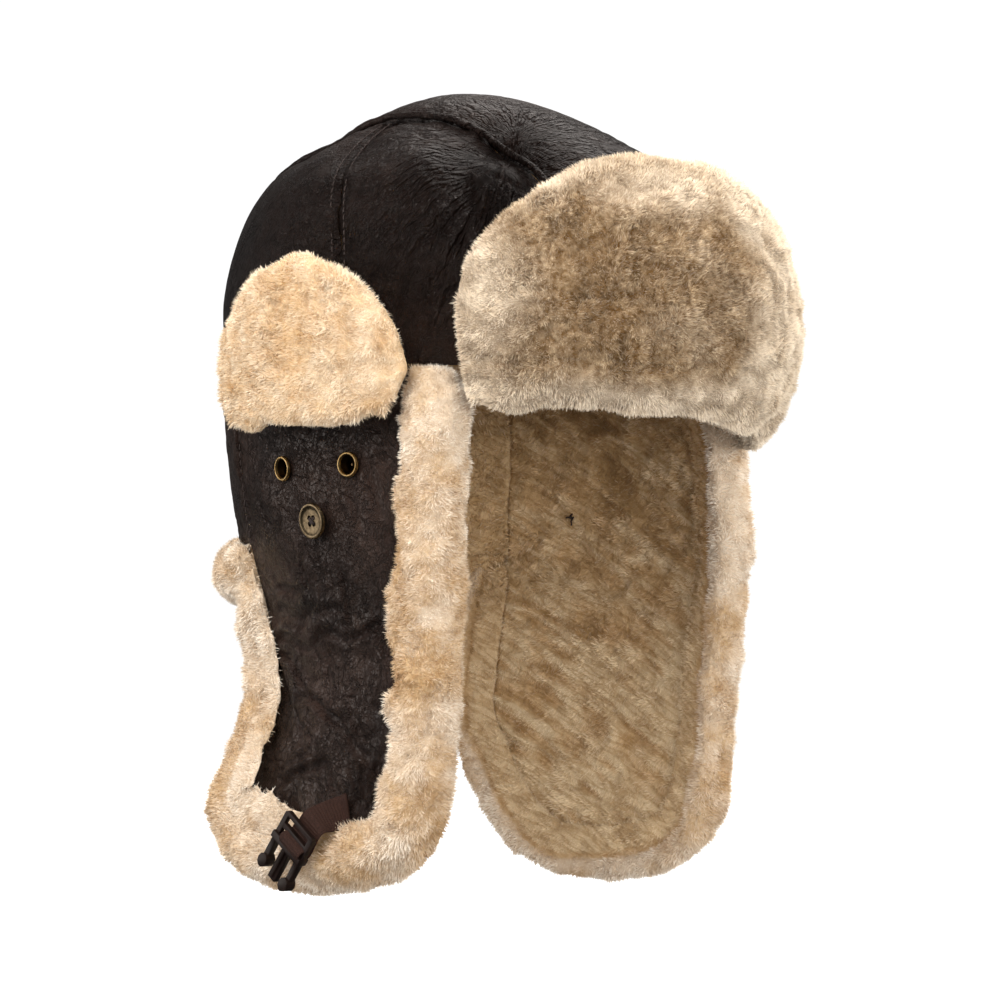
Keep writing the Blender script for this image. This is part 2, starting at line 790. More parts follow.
def wool_finish(name, outside, inside, ridged=0.0):
    """Clipped fleece in small tufts. outside and inside are colours of roots, of tan and of cream ends."""
    m = Finish(name)
    tip, pale, tone = m.attribute("tip"), m.attribute("pale"), m.attribute("tone")
    within = m.attribute("inside")
    tufts = m.span(m.noise(340, 2.5, 0.6, 0.3), 0.4, 0.6, 1.0, 0.0)
    locks = m.span(m.noise(125, 3.0, 0.6, 0.5), 0.4, 0.62, 1.0, 0.0)
    root, tan, cream = (m.blend(within, a, b) for a, b in zip(outside, inside))
    ends = m.blend(pale, tan, cream)
    curls = m.cells(250, "DISTANCE_TO_EDGE", m.warped(m.object_place, 230, 0.006))
    curls = m.span(curls, 0.0, 0.3, 1.0, 0.0)
    depth = (tufts * 0.45 + locks * 0.3 + curls * 0.36) * m.span(pale, 0.0, 1.0, 1.0, 0.24)
    if ridged:
        x, y, z = m.parted()
        place = m.warped(m.joined((z - y * 0.6) * 210.0, (y + z * 0.6) * 42.0, x * 40.0), 1.3, 0.5)
        ridge = m.lines(m.noise(1.0, 2.5, 0.55, 0.3, place), 0.09)
        lined = depth * 0.6 + ridge * ridged
        depth = lined if outside is inside else lined * within + depth * (1.0 - within)
    colour = m.blend(depth, ends, root)
    colour = m.blend(m.span(pale, -1.0, 0.0, 0.8, 0.0), colour, m.blend(0.5, root, srgb(112, 82, 48)))
    colour = m.blend(m.span(tip, 0.0, 0.7, 0.5, 0.0), colour, root)
    colour = m.blend(m.span(tone, 0.6, 1.0) * 0.3, colour, m.blend(0.5, ends, (1.0, 0.98, 0.94)))
    body = m.surface(
        Base_Color=colour,
        Roughness=0.85,
        Specular_IOR_Level=0.15,
        Normal=m.bump((curls + tufts * 0.6) * -0.5, 0.001, 0.6),
    )
    through = m.node("ShaderNodeBsdfTranslucent", None, Color=colour)
    return m.done(m.node("ShaderNodeMixShader", None, 0.3, body, through))


def metal_finish(name, stain_scale, dull, bright, roughness, grain, hollow=None):
    """Aged metal with stains. hollow is the colour of the places marked as deep."""
    m = Finish(name)
    stains = m.span(m.noise(stain_scale, 4.0, 0.65), 0.35, 0.7)
    if hollow:
        stains = stains - m.attribute("deep")
    colour = m.blend(stains, dull, bright)
    if hollow:
        colour = m.blend(m.attribute("deep") * 0.9, colour, hollow)
    return m.done(
        m.surface(
            Base_Color=colour,
            Metallic=1.0,
            Roughness=m.span(m.noise(700, 3.0), 0.3, 0.7, *roughness),
            Normal=m.bump(m.noise(1300, 2.0), *grain),
        )
    )


def brass_finish():
    """Antique brass: dark in its hollows, rubbed bright on its rims."""
    dull, bright, hollow = srgb(170, 138, 86), srgb(232, 202, 144), srgb(58, 40, 20)
    return metal_finish("antique_brass", 420, dull, bright, (0.28, 0.46), (0.00005, 0.5), hollow)


def bronze_finish():
    """Grey-green aged bronze."""
    dull, bright = srgb(112, 98, 76), srgb(168, 150, 120)
    return metal_finish("aged_bronze", 520, dull, bright, (0.34, 0.5), (0.00006, 0.6))


def webbing_finish():
    """Dark brown ribbed webbing."""
    m = Finish("ribbed_webbing")
    threads = m.noise(2600, 2.0)
    colour = m.blend(m.span(threads, 0.3, 0.7), srgb(26, 16, 13), srgb(52, 34, 28))
    weave = m.bump(threads, 0.0002, 0.8)
    return m.done(m.surface(Base_Color=colour, Roughness=0.78, Specular_IOR_Level=0.2, Normal=weave))


def thread_finish():
    """Dark waxed sewing thread."""
    m = Finish("sewing_thread")
    plies = m.noise(3200, 1.0)
    colour = m.blend(plies, srgb(24, 18, 17), srgb(58, 48, 44))
    return m.done(m.surface(Base_Color=colour, Roughness=0.6, Normal=m.bump(plies, 0.0001, 0.7)))


def plastic_finish():
    """Dark brown moulded plastic with faint flow marks."""
    m = Finish("moulded_plastic")
    marks = m.noise(160, 3.0)
    colour = m.blend(m.span(marks, 0.3, 0.7), srgb(16, 10, 8), srgb(28, 18, 15))
    gloss, grain = m.span(marks, 0.3, 0.7, 0.3, 0.42), m.bump(m.noise(2400, 2.0), 0.00004, 0.5)
    return m.done(m.surface(Base_Color=colour, Roughness=gloss, Specular_IOR_Level=0.22, Normal=grain))


finishes = {}


def finish(name):
    """Each material is made once, when it is first asked for."""
    makers = {
        "leather": leather_finish,
        "visor": lambda: wool_finish("visor_fleece", VISOR_WOOL, VISOR_WOOL),
        "trim": lambda: wool_finish("trim_fleece", TRIM_WOOL, LINING_WOOL, 0.6),
        "cover": lambda: wool_finish("cover_fleece", COVER_WOOL, COVER_WOOL),
        "lining": lambda: wool_finish("lining_fleece", LINING_WOOL, LINING_WOOL, 0.6),
        "bronze": bronze_finish,
        "brass": brass_finish,
        "webbing": webbing_finish,
        "thread": thread_finish,
        "plastic": plastic_finish,
    }
    if name not in finishes:
        finishes[name] = makers[name]()
    return finishes[name]


# Repeated pieces by Geometry Nodes


class Tree:
    """A Geometry Nodes tree with named inputs, made one call at a time."""

    def __init__(self, name, inputs):
        self.group = bpy.data.node_groups.new(name, "GeometryNodeTree")
        face = self.group.interface
        self.ids = {}
        face.new_socket("Geometry", in_out="INPUT", socket_type="NodeSocketGeometry")
        for label, kind in inputs.items():
            self.ids[label] = face.new_socket(label, in_out="INPUT", socket_type=kind).identifier
        face.new_socket("Geometry", in_out="OUTPUT", socket_type="NodeSocketGeometry")
        self.source = self.group.nodes.new("NodeGroupInput")
        self.end = self.group.nodes.new("NodeGroupOutput")

    def input(self, label):
        return self.source.outputs[label]

    def node(self, kind, settings=None, **values):
        made = self.group.nodes.new(kind)
        for key, value in (settings or {}).items():
            setattr(made, key, value)
        for key, value in values.items():
            label = key.replace("_", " ")
            socket = next(s for s in made.inputs if s.name == label and s.enabled)
            if isinstance(value, bpy.types.NodeSocket):
                self.group.links.new(value, socket)
            elif isinstance(value, bpy.types.Node):
                self.group.links.new(next(s for s in value.outputs if s.enabled), socket)
            else:
                socket.default_value = value
        return made

    def joined(self, kind, operation, *sockets):
        """A maths node with its sockets linked in order."""
        made = self.node(kind, {"operation": operation})
        for socket, value in zip(made.inputs, sockets):
            self.group.links.new(value, socket)
        return made.outputs[0]

    def random(self, seed, low, high, vector=False):
        made = self.node(
            "FunctionNodeRandomValue", {"data_type": "FLOAT_VECTOR" if vector else "FLOAT"}, Seed=seed
        )
        first = 0 if vector else 2
        made.inputs[first].default_value, made.inputs[first + 1].default_value = low, high
        return made.outputs[0 if vector else 1]

    def named(self, label, data_type="FLOAT"):
        return self.node("GeometryNodeInputNamedAttribute", {"data_type": data_type}, Name=label).outputs[0]

    def finish(self, geometry):
        """Makes the instances real, gives them the material and ends the tree."""
        real = self.node("GeometryNodeRealizeInstances", Geometry=geometry)
        painted = self.node("GeometryNodeSetMaterial", Geometry=real, Material=self.input("Material"))
        self.group.links.new(painted.outputs[0], self.end.inputs[0])


def run_tree(obj, tree, values):
    """The result of a tree on an object, as a plain mesh."""
    modifier = obj.modifiers.new("maker", "NODES")
    modifier.node_group = tree.group
    for label, value in values.items():
        modifier[tree.ids[label]] = value
    mesh = evaluated(obj)
    obj.modifiers.remove(modifier)
    return mesh


trees = {}


def fleece_tree():
    """Strands on a mesh. lay is their mean direction, crowd their share of the density, size their length."""
    if "fleece" in trees:
        return trees["fleece"]
    t = Tree(
        "fleece",
        {
            "Strands per square metre": "NodeSocketFloat",
            "Strand length": "NodeSocketFloat",
            "Spread": "NodeSocketFloat",
            "Seed": "NodeSocketInt",
            "Strand": "NodeSocketObject",
            "Material": "NodeSocketMaterial",
        },
    )
    lay = t.named("lay", "FLOAT_VECTOR")
    density = t.joined(
        "ShaderNodeMath", "MULTIPLY", t.named("crowd"), t.input("Strands per square metre")
    )
    points = t.node(
        "GeometryNodeDistributePointsOnFaces",
        {"distribute_method": "RANDOM"},
        Mesh=t.input("Geometry"),
        Density=density,
        Seed=t.input("Seed"),
    )
    stray = t.random(t.input("Seed"), (-1, -1, -1), (1, 1, 1), True)
    loose = t.node("ShaderNodeVectorMath", {"operation": "SCALE"}, Vector=stray, Scale=t.input("Spread"))
    way = t.joined("ShaderNodeVectorMath", "ADD", lay, loose.outputs[0])
    aligned = t.node("FunctionNodeAlignRotationToVector", {"axis": "Z"}, Vector=way)
    turned = t.node(
        "FunctionNodeAlignRotationToVector",
        {"axis": "Y", "pivot_axis": "Z"},
        Rotation=aligned,
        Vector=points.outputs["Normal"],
    )
    scale = t.joined("ShaderNodeMath", "MULTIPLY", t.random(9, 0.6, 1.15), t.input("Strand length"))
    sized = t.joined("ShaderNodeMath", "MULTIPLY", scale, t.named("size"))
    strand = t.node("GeometryNodeObjectInfo", {"transform_space": "ORIGINAL"}, Object=t.input("Strand"))
    toned = t.node(
        "GeometryNodeStoreNamedAttribute",
        {"data_type": "FLOAT", "domain": "POINT"},
        Geometry=points.outputs[0],
        Name="tone",
        Value=t.random(13, 0.0, 1.0),
    )
    copies = t.node(
        "GeometryNodeInstanceOnPoints",
        Points=toned,
        Instance=strand.outputs["Geometry"],
        Rotation=turned,
        Scale=sized,
    )
    joined = t.node("GeometryNodeJoinGeometry")
    t.group.links.new(copies.outputs[0], joined.inputs[0])
    t.group.links.new(t.input("Geometry"), joined.inputs[0])
    t.finish(joined)
    trees["fleece"] = t
    return t


def strand_object(width):
    """One strand of unit length: a face that narrows to its tip and looks along Y."""
    name = "one_strand"
    if name in bpy.data.objects:
        return bpy.data.objects[name]
    mesh = bpy.data.meshes.new(name)
    mesh.from_pydata([(width / 2, 0, -0.12), (-width / 2, 0, -0.12), (0, 0, 1)], [], [(0, 1, 2)])
    marked(mesh, "tip", [0, 0, 1])
    return linked(name, mesh)


def fleece_on(name, mesh, looks, slot, node, material, seed, density, length):
    """A wool piece: its base mesh with strands on it. looks gives arrays of lay, crowd, size and pale."""
    count = len(mesh.vertices)
    where = np.zeros(count * 3)
    normal = np.zeros(count * 3)
    mesh.vertices.foreach_get("co", where)
    mesh.vertex_normals.foreach_get("vector", normal)
    where, normal = where.reshape(-1, 3) / MM, normal.reshape(-1, 3)
    lay, crowd, size, pale, *inside = looks(where, normal)
    marks = {"crowd": crowd, "size": size, "pale": pale, "inside": inside[0] if inside else 0}
    for label, values in {**marks, "tip": 0, "tone": 0.3}.items():
        marked(mesh, label, values)
    mesh.attributes.new("lay", "FLOAT_VECTOR", "POINT").data.foreach_set("vector", unit(lay).ravel())
    obj = linked(name, mesh)
    amounts = {
        "Strands per square metre": density * 1e6,
        "Strand length": length * MM,
        "Spread": STRAND_SPREAD,
        "Seed": seed,
        "Strand": strand_object(STRAND_WIDTH),
        "Material": finish(material),
    }
    obj.data = run_tree(obj, fleece_tree(), amounts)
    bpy.data.meshes.remove(mesh)
    obj.data.name = name
    as_piece(obj, slot, node)


# Leather


def creased(p, along, share, rows, strength=1.0):
    """The depth of named creases at places given in millimetres across and down a panel."""
    depth = np.zeros(p.shape[:-1])
    wander = np.stack([noise_a(p / 17.0), noise_b(p / 17.0)], axis=-1) * 3.5
    spot = np.stack([along, share], axis=-1) + wander
    for row in rows:
        a, b = np.array(row["start"], dtype=float), np.array(row["end"], dtype=float)
        run = b - a
        t = np.clip(((spot - a) @ run) / (run @ run), 0, 1)
        distance = np.linalg.norm(spot - (a + t[..., None] * run), axis=-1)
        fade = np.clip(np.minimum(t, 1 - t) * 5 + 0.15, 0, 1)
        width = row["width"]
        bank = np.exp(-(((distance - 1.9 * width) / width) ** 2))
        valley = np.exp(-((distance / width) ** 2)) - 0.45 * bank
        depth += strength * row["depth"] * valley * fade
    return depth


def crumple(p, size, width=0.16):
    """A net of soft creases."""
    moved = p + 0.45 * size * drift(p, size * 1.4)
    return furrows(noise_a.layered(moved / size, 2), width)


def leather_relief(p, seam_distance, along_seam, wild):
    """How far a crown panel's leather stands out: puckers at its seams, creases and soft swellings."""
    near = np.exp(-seam_distance / PUCKER_REACH)
    pucker_place = points_of(along_seam / 7.5, seam_distance / 42.0, 3.0)
    pucker = noise_b.layered(pucker_place, 2) * near * PUCKER_DEPTH
    groove = -STITCH_GROOVE * np.exp(-((seam_distance / STITCH_GROOVE_WIDTH) ** 2))
    swelling = SWELLING * noise_c(p / SWELLING_SIZE) * (1 - near)
    creases = -(0.35 + 0.75 * wild) * crumple(p, CREASE_SIZE)
    creases = creases - (0.15 + 0.4 * wild) * crumple(p, FINE_CREASE_SIZE, 0.2)
    return pucker + groove + swelling + creases * (0.6 + 0.4 * noise_b(p / 45.0))


def wildness(p):
    """How much the crown's leather is creased: most in its dents."""
    return np.clip(dent_depth(p) / 2.2, 0, 1)


def leather_shell(name, p, relief, to_seam, along, share=1.0, reach=8.0):
    """A leather panel, marked with how close its seams are and with the distance along them."""
    out = outward_at(p)
    marks = {"gather": share * np.exp(-to_seam / reach), "run": along}
    return shell_mesh(name, p + out * relief[..., None], p - out * HIDE, **marks)


def nearest(*distances):
    return np.minimum.reduce(distances)


def strip_mesh():
    u, v = grid(52, 180)
    share = (2 * u - 1) * (1 - SEAM_GAP / 2 / STRIP_HALF_WIDTH)
    over = mix(-HEM_ANGLE, 180 + HEM_ANGLE, v)
    to_seam = (1 - np.abs(share)) * STRIP_HALF_WIDTH
    p = drawn_in(strip_point(share, over), seam_hollow(to_seam))
    along = over * DEGREES * STRIP_ARC + 300 * (u > 0.5)
    relief = leather_relief(p, to_seam, along, wildness(p))
    return leather_shell("crown_strip_leather", p, relief, to_seam, along)


def panel_point(sign, edge, over, foot, v):
    """Points down a side panel, with their distance from the strip and the height of the panel's curve."""
    turn, tilt = strip_direction(edge, over)
    arc = tilt * DEGREES * CROWN_RISE
    fallen = v * (arc + CROWN_HEM)
    new_tilt = np.maximum(arc - fallen, 0) / CROWN_RISE / DEGREES
    p = shell_point(sign, mix(turn, foot, v), new_tilt, np.maximum(fallen - arc, 0))
    return p, fallen, arc


def side_panel_mesh(name, sign, start_over, end_over, start_foot, end_foot):
    u, v = grid(62, 62)
    edge = 1 + SEAM_GAP / 2 / STRIP_HALF_WIDTH
    foot = mix(start_foot, end_foot, u)
    p, fallen, arc = panel_point(sign, edge, mix(start_over, end_over, u), foot, v)
    width = (end_foot - start_foot) * DEGREES * CROWN_HALF_LENGTH
    bottom, front, rear = arc + CROWN_HEM - fallen, u * width, (1 - u) * width
    to_seam = nearest(fallen, bottom, front, rear)
    p = drawn_in(p, seam_hollow(to_seam))
    level = np.minimum(fallen, bottom) < np.minimum(front, rear)
    along = np.where(level, front + 60, fallen + 400)
    relief = leather_relief(p, to_seam, along, wildness(p))
    if start_over < 10:
        mask = smoothstep(fallen, 12, 40) * smoothstep(bottom, 25, 60)
        lengthwise, crosswise = p @ unit(np.array([0.0, 0.55, 0.83])), p @ np.array([0, 0.83, -0.55])
        relief += mask * noise_a.layered(points_of(lengthwise / 60, crosswise / 10, p[..., 0] / 60), 2)
    return leather_shell(name, p, relief, to_seam, along)


def rings_round(path, side, up, radius, sides):
    """Rings of points round a line; side and up are two ways across it at each of its points."""
    angle = ring_angles(sides)[None, :, None]
    return path[:, None] + radius * (side[:, None] * np.cos(angle) + up[:, None] * np.sin(angle))


def piping_mesh(sign):
    steps = 240
    over = mix(2, 180 + 0.9 * HEM_ANGLE, np.linspace(0, 1, steps))
    p = drawn_in(strip_point(np.full(steps, sign), over), np.ones(steps))
    p = p + outward_at(p) * (PIPING_RADIUS * 1.15 + 0.2 * noise_a(points_of(over / 3.0, 0, 5.5)))[:, None]
    along = unit(np.gradient(p, axis=0))
    side = unit(np.cross(along, outward_at(p)))
    out = unit(np.cross(side, along))
    radius = PIPING_RADIUS * (1 + 0.1 * noise_b(points_of(over / 1.6, 2.0, 0.5)))
    rings = rings_round(p, side, out, radius[:, None, None], 12)
    return tube_mesh(f"piping_{'left' if sign > 0 else 'right'}_leather", rings)


def tube_mesh(name, rings):
    """A closed tube through rings of points."""
    steps, sides = rings.shape[:2]
    vertices = np.concatenate([rings.reshape(-1, 3), rings[:1].mean(axis=1), rings[-1:].mean(axis=1)])
    faces = [list(f) for f in grid_faces(steps, sides, around=True)]
    first, last = steps * sides, steps * sides + 1
    for k in range(sides):
        n = (k + 1) % sides
        faces.append([first, k, n])
        faces.append([last, (steps - 1) * sides + n, (steps - 1) * sides + k])
    return closed_mesh(name, vertices, faces)


# Creases of the flaps' leather, in millimetres from the front edge and down from the lower seam
FLAP_CREASES = table(
    ("start", "end", "depth", "width"),
    ((93, 108), (62, 111), 1.3, 2.0),
    ((64, 111), (38, 110), 1.0, 1.8),
    ((40, 110), (4, 106), 0.9, 1.8),
    ((90, 101), (52, 98), 0.9, 2.0),
    ((84, 93), (60, 90), 0.8, 1.8),
    ((56, 103), (34, 96), 0.7, 1.8),
    ((34, 80), (33, 112), 0.8, 1.5),
    ((61, 76), (60, 95), 0.7, 1.5),
    ((48, 84), (46, 104), 0.5, 1.5),
    ((90, 118), (60, 131), 1.4, 2.0),
    ((60, 131), (32, 148), 1.4, 2.0),
    ((32, 148), (3, 173), 1.4, 2.0),
    ((78, 132), (51, 137), 1.1, 1.8),
    ((51, 137), (29, 143), 1.1, 1.8),
    ((29, 143), (5, 167), 1.1, 1.8),
    ((70, 146), (50, 158), 0.7, 1.6),
    ((19, 184), (5, 167), 1.1, 1.5),
    ((20, 182), (11, 162), 1.0, 1.5),
    ((22, 182), (17, 160), 1.0, 1.5),
    ((24, 182), (26, 162), 0.8, 1.5),
    ((27, 184), (38, 168), 0.8, 1.6),
    ((81, 176), (40, 164), 1.1, 1.9),
    ((72, 168), (56, 160), 0.8, 1.6),
    ((12, 64), (24, 30), 0.5, 2.0),
    ((20, 70), (30, 48), 0.5, 1.6),
)


def flap_mesh(side):
    surface = flap_surface(side)
    u, v = grid(68, 128)
    p = surface(u, v)
    width = length_of(surface(1.0, v) - surface(0.0, v))[..., 0]
    across, down = u * width, v * FLAP_LENGTH
    to_edge = nearest(across, width - across, down, FLAP_LENGTH - down)
    low = smoothstep(v, 0.35, 0.7)
    relief = leather_relief(p, to_edge, across + down, 0.25 + 0.6 * low)
    relief -= creased(p, across, down, FLAP_CREASES, 1.9 if side["sign"] < 0 else 1.5)
    relief -= 0.9 * low * crumple(p, LOW_CREASE_SIZE, 0.2)
    relief -= 0.6 * np.exp(-((width - across - 3) / 2.2) ** 2) * (v < 0.4)
    eyelets = eyelet_places(side["rows"])
    for at in eyelets:
        near = length_of(p - surface(*at))[..., 0]
        relief *= smoothstep(near, 5.0, 9.0)
        relief -= 0.5 * np.exp(-((near / 7.5) ** 2))
    edge_tuck = 1 - np.exp(-to_edge / 1.2)
    relief = relief * edge_tuck - 0.8 * (1 - edge_tuck)
    name = f"ear_flap_{side['name']}_leather"
    mesh = leather_shell(name, p, relief, to_edge, across + down, 0.8, 7.0)
    rod, faces = bore_rod(EYELET_BORE + 0.5, 8, 24)
    places = [placed(rod, surface(*at), facing_at(surface, *at)) for at in eyelets]
    return bored(mesh, [closed_mesh("bore", place, faces) for place in places])


def nape_mesh():
    u, v = grid(100, 36, v_range=(-0.014, 1))
    p = nape_surface(u, v)
    height = NAPE_DROP - CROWN_HEM
    across, down = u * NAPE_RUN, np.maximum(v, 0) * height
    to_edge = nearest(across, NAPE_RUN - across, down, height - down)
    relief = leather_relief(p, to_edge, across + down, 0.3) - 0.4 * crumple(p, 20.0, 0.2)
    return leather_shell("nape_panel_leather", p, relief, to_edge, across + down, 0.8, 7.0)


# Wool


def comb(p, down_share, wander_size=9.0, wander=0.45):
    """A lay for the fleece: a lean downwards and soft swirls."""
    return np.array([0.0, 0.0, -down_share]) + wander * drift(p, wander_size)


def tufted(p, out, depth, size):
    """Moves points out and in by soft tufts, a strand's reach inside the solids' outline."""
    tuft = 0.5 * noise_a.layered(p / size, 2) + 0.35 * np.abs(noise_b(p / (size * 0.5)))
    tuft = tuft + 0.3 * noise_c(p / (size * 0.36)) + 0.35 * noise_a(p / (size * 0.22))
    return p + out * (depth * tuft - WOOL_REACH)[..., None]


def roll_mesh(name, edge, middle, radius, inset, full, lap):
    """A wool roll along an edge of the leather, which laps over the leather's face by lap.

    It comes with each point's shares in the inner face, in its crease and in the side on the leather.
    """
    sides, lip = 34, 6
    normal = outward_at(edge)
    along = unit(np.gradient(edge, axis=0))
    out = unit(np.cross(along, normal))
    out *= np.sign(np.sum(out * (edge - middle), axis=-1, keepdims=True))
    up = np.cross(out, along)
    normal = unit(up) * np.sign(np.sum(up * normal, axis=-1, keepdims=True))
    out, normal = smoothed(out, 5), smoothed(normal, 5)
    size, lap = full[:, None], lap[:, None]
    centre = edge + out * (inset * size + SEAM_GAP) - normal * LINING_DEPTH / 2
    flat = math.acos(-inset / radius)
    angle = np.linspace(-flat * 1.02, flat, sides)
    deepest = -(LINING_DEPTH / 2 + ROLL_PROUD)
    reach = size * radius * (1 - 0.05 * np.cos(2 * angle))[None, :]
    outwards = reach * np.cos(angle)
    raw = reach * np.sin(angle)
    upwards = np.where(raw < 0, deepest * (1 - np.exp(raw / -deepest * 1.25)) * 1.08, raw)
    face = LINING_DEPTH / 2 + 0.7
    share = np.linspace(0, 1, lip + 1)[None, 1:]
    lip_out = outwards[:, -1:] - lap * share
    lip_up = face + 0.8 + np.maximum(upwards[:, -1:] - face - 0.8, 0) * np.cos(share * math.pi / 2) ** 0.8
    close_out = np.concatenate([lip_out[:, -1:] + 0.3, outwards[:, -1:]], axis=1)
    close_up = np.full(close_out.shape, face)
    outwards = np.concatenate([outwards, lip_out, close_out], axis=1)
    upwards = np.concatenate([upwards, lip_up, close_up], axis=1)
    raw = np.concatenate([raw, lip_up * 0 + 5, close_up * 0 + 5], axis=1)
    loose = np.concatenate([np.ones(sides), np.linspace(1, 0.35, lip), np.zeros(2)])[None, :, None]
    ring = centre[:, None] + outwards[..., None] * out[:, None] + upwards[..., None] * normal[:, None]
    away = unit(ring - centre[:, None])
    under = smoothstep(-raw, 2, 8)[..., None]
    away = unit(mix(away, -normal[:, None], 0.75 * under))
    ring = ring + (tufted(ring, away, ROLL_TUFT_DEPTH, ROLL_TUFT_SIZE) - ring) * loose
    seam_place = INNER_SEAM * size - inset * size + 1.5 * noise_c(centre / 21.0)[:, None]
    from_seam = outwards - seam_place
    ring = ring - away * (1.6 * np.exp(-((from_seam / 1.7) ** 2)) * under[..., 0])[..., None]
    inner = under[..., 0] * smoothstep(-from_seam, -2.0, 1.0)
    groove = under[..., 0] * np.exp(-((from_seam / 1.5) ** 2))
    hidden = np.broadcast_to(loose[..., 0] == 0, inner.shape)
    ends = np.zeros(2)
    return tube_mesh(name, ring), [np.concatenate([m.ravel(), ends]) for m in (inner, groove, hidden)]


def wool_ridges(p):
    """The flaps' fleece lies in fine ridges that run down and to the front: 0.5 on them, below 0 between."""
    slant, down = p[..., 2] - p[..., 1] * 0.6, p[..., 1] + 0.6 * p[..., 2]
    place = points_of(slant / 5.6, down / 30.0, p[..., 0] / 60.0) + 0.3 * drift(p, 20.0)
    return 0.45 - 1.5 * np.abs(noise_a(place)) + 0.2 * noise_b(p / 4.0)


def lining_pale(where):
    """How pale the flaps' lining is: more so low down and towards the front."""
    low = smoothstep(-where[..., 2], 120, 320)
    front = smoothstep(-where[..., 1], 20, 60)
    return np.clip(0.16 + 1.15 * low + 0.25 * front, 0, 1.2)


def smoothed(rows, times):
    for _ in range(times):
        rows = np.concatenate([rows[:1], (rows[:-2] + 2 * rows[1:-1] + rows[2:]) / 4, rows[-1:]])
    return unit(rows)


def flap_edge(side, steps):
    """Points down the flap's front edge, round its bottom and up its rear edge to the nape's roll."""
    surface = flap_surface(side)
    nape_roll_bottom = NAPE_DROP - CROWN_HEM + NAPE_ROLL_INSET + NAPE_ROLL_RADIUS
    s = np.linspace(0, 1, 60)
    parts = [
        surface(0.0, mix(0.005, 1, s)),
        surface(s[1:-1], 1.0),
        surface(1.0, mix(1, (nape_roll_bottom - 15) / FLAP_LENGTH, s)),
    ]
    line = np.concatenate(parts)
    for _ in range(6):
        line[1:-1] = (line[:-2] + 2 * line[1:-1] + line[2:]) / 4
    return rounded_curve(line[::3], steps)


def pad_base(place, stand_off, u, v):
    """The seat of a turned-up pad, and the way that it faces."""
    base = place(u, v)
    base = base + outward_at(base) * stand_off(v)[..., None]
    normal = unit(np.cross(np.gradient(base, axis=1), np.gradient(base, axis=0)))
    return base, normal * np.sign(np.sum(normal * outward_at(base), axis=-1, keepdims=True))


def pad_mesh(name, place, stand_off, across, down, front, back, hollows, sign=-1.0):
    """A wool cushion turned up against the crown."""
    u, v = grid(across, down)
    base, normal = pad_base(place, stand_off, u, v)
    normal = unit(mix(normal, outward_at(base), v[..., None] ** 5))
    outer = tufted(base + normal * front(u, v)[..., None], normal, TUFT_DEPTH, TUFT_SIZE)
    outer = outer - normal * hollowed(outer, hollows, sign)[..., None]
    return shell_mesh(name, outer, base + normal * back(u, v)[..., None])


def pad_lay(where, normal, lift, wander, least, middle):
    """The lay of a pad's fleece, which spreads from the middle at the rim, with its crowd and the rim."""
    forward = np.sum(normal * outward_at(where), axis=-1)
    rim = 1 - smoothstep(np.abs(forward), 0.1, 0.7)
    lay = 0.9 * normal + comb(where, lift, 5.5, wander)
    lay = lay + 0.7 * rim[:, None] * unit(where - np.array(middle))
    return lay, np.clip(forward + 1.1, least, 1), rim


# Hollows of the turned-up wool, in millimetres, along lines on its face
VISOR_HOLLOWS = table(
    ("line", "depth", "width"),
    (((-62.6, -117.4, -46.8), (-65.9, -125.9, -71.8), (-65.4, -128.1, -88)), 2.6, 3.2),
    (((-65.4, -128.1, -88), (-71, -123, -100)), 1.6, 3.0),
    (((-51.9, -134.5, -107.3), (-48.5, -131.4, -126)), 2.2, 2.8),
    (((-64, -128, -72), (-60, -130, -96)), 2.5, 14.0),
    (((-8, -139, -62), (10, -140, -70)), 1.6, 9.0),
    (((30, -137, -60), (34, -136, -84)), 1.6, 4.0),
)
COVER_HOLLOWS = table(
    ("line", "depth", "width"),
    (((-119.5, -19.1, -88), (-119.0, -21.5, -92)), 2.6, 4.5),
    (((-115.8, -39.0, -97), (-115.1, -42.0, -102)), 2.6, 4.0),
    (((-119.3, -5.8, -86), (-120.6, -2.5, -111)), 2.6, 8.0),
    (((-108, -52, -100), (-106, -54, -118)), 1.6, 3.0),
)


def hollowed(p, rows, sign=-1.0):
    """The depth of hollows along lines; sign is the side of the helmet that they lie on."""
    depth = np.zeros(p.shape[:-1])
    for row in rows:
        line = np.array(row["line"], dtype=float) * np.array([-sign, 1.0, 1.0])
        near = np.full(p.shape[:-1], 1e9)
        for a, b in zip(line[:-1], line[1:]):
            t = np.clip(((p - a) @ (b - a)) / ((b - a) @ (b - a)), 0, 1)
            near = np.minimum(near, length_of(p - (a + t[..., None] * (b - a)))[..., 0])
        depth += row["depth"] * np.exp(-((near / row["width"]) ** 2))
    return depth


def fullness(u, v):
    """1 over a pad's middle, falling to 0 at its rim."""

    def rise(t):
        return np.sqrt(np.maximum(1 - np.abs(2 * t - 1) ** 4, 0))

    return rise(u) * rise(v)


def visor_place(u, v):
    across = 2 * u - 1
    shoulder = 1 - 0.2 * v**4 - 0.05 * (1 - v) ** 4
    turn = across * VISOR_WRAP * shoulder
    rim = 1 - 0.3 * np.abs(across) ** 3 * v
    height = -VISOR_FOLD_DROP - VISOR_SLANT * across * np.abs(across) + VISOR_HEIGHT * v * rim
    height = height + 2.4 * noise_c(points_of(across * 6, v * 2, 0 * v)) * (2 * v - 1) ** 2
    return crown_under(np.where(turn > 0, 1.0, -1.0), np.abs(turn), height)


def visor_stand_off(v):
    seat = VISOR_FOLD_DROP / VISOR_HEIGHT
    return mix(2 * LAY_GAP, VISOR_AIR, smoothstep(v, seat, 1.8 * seat))


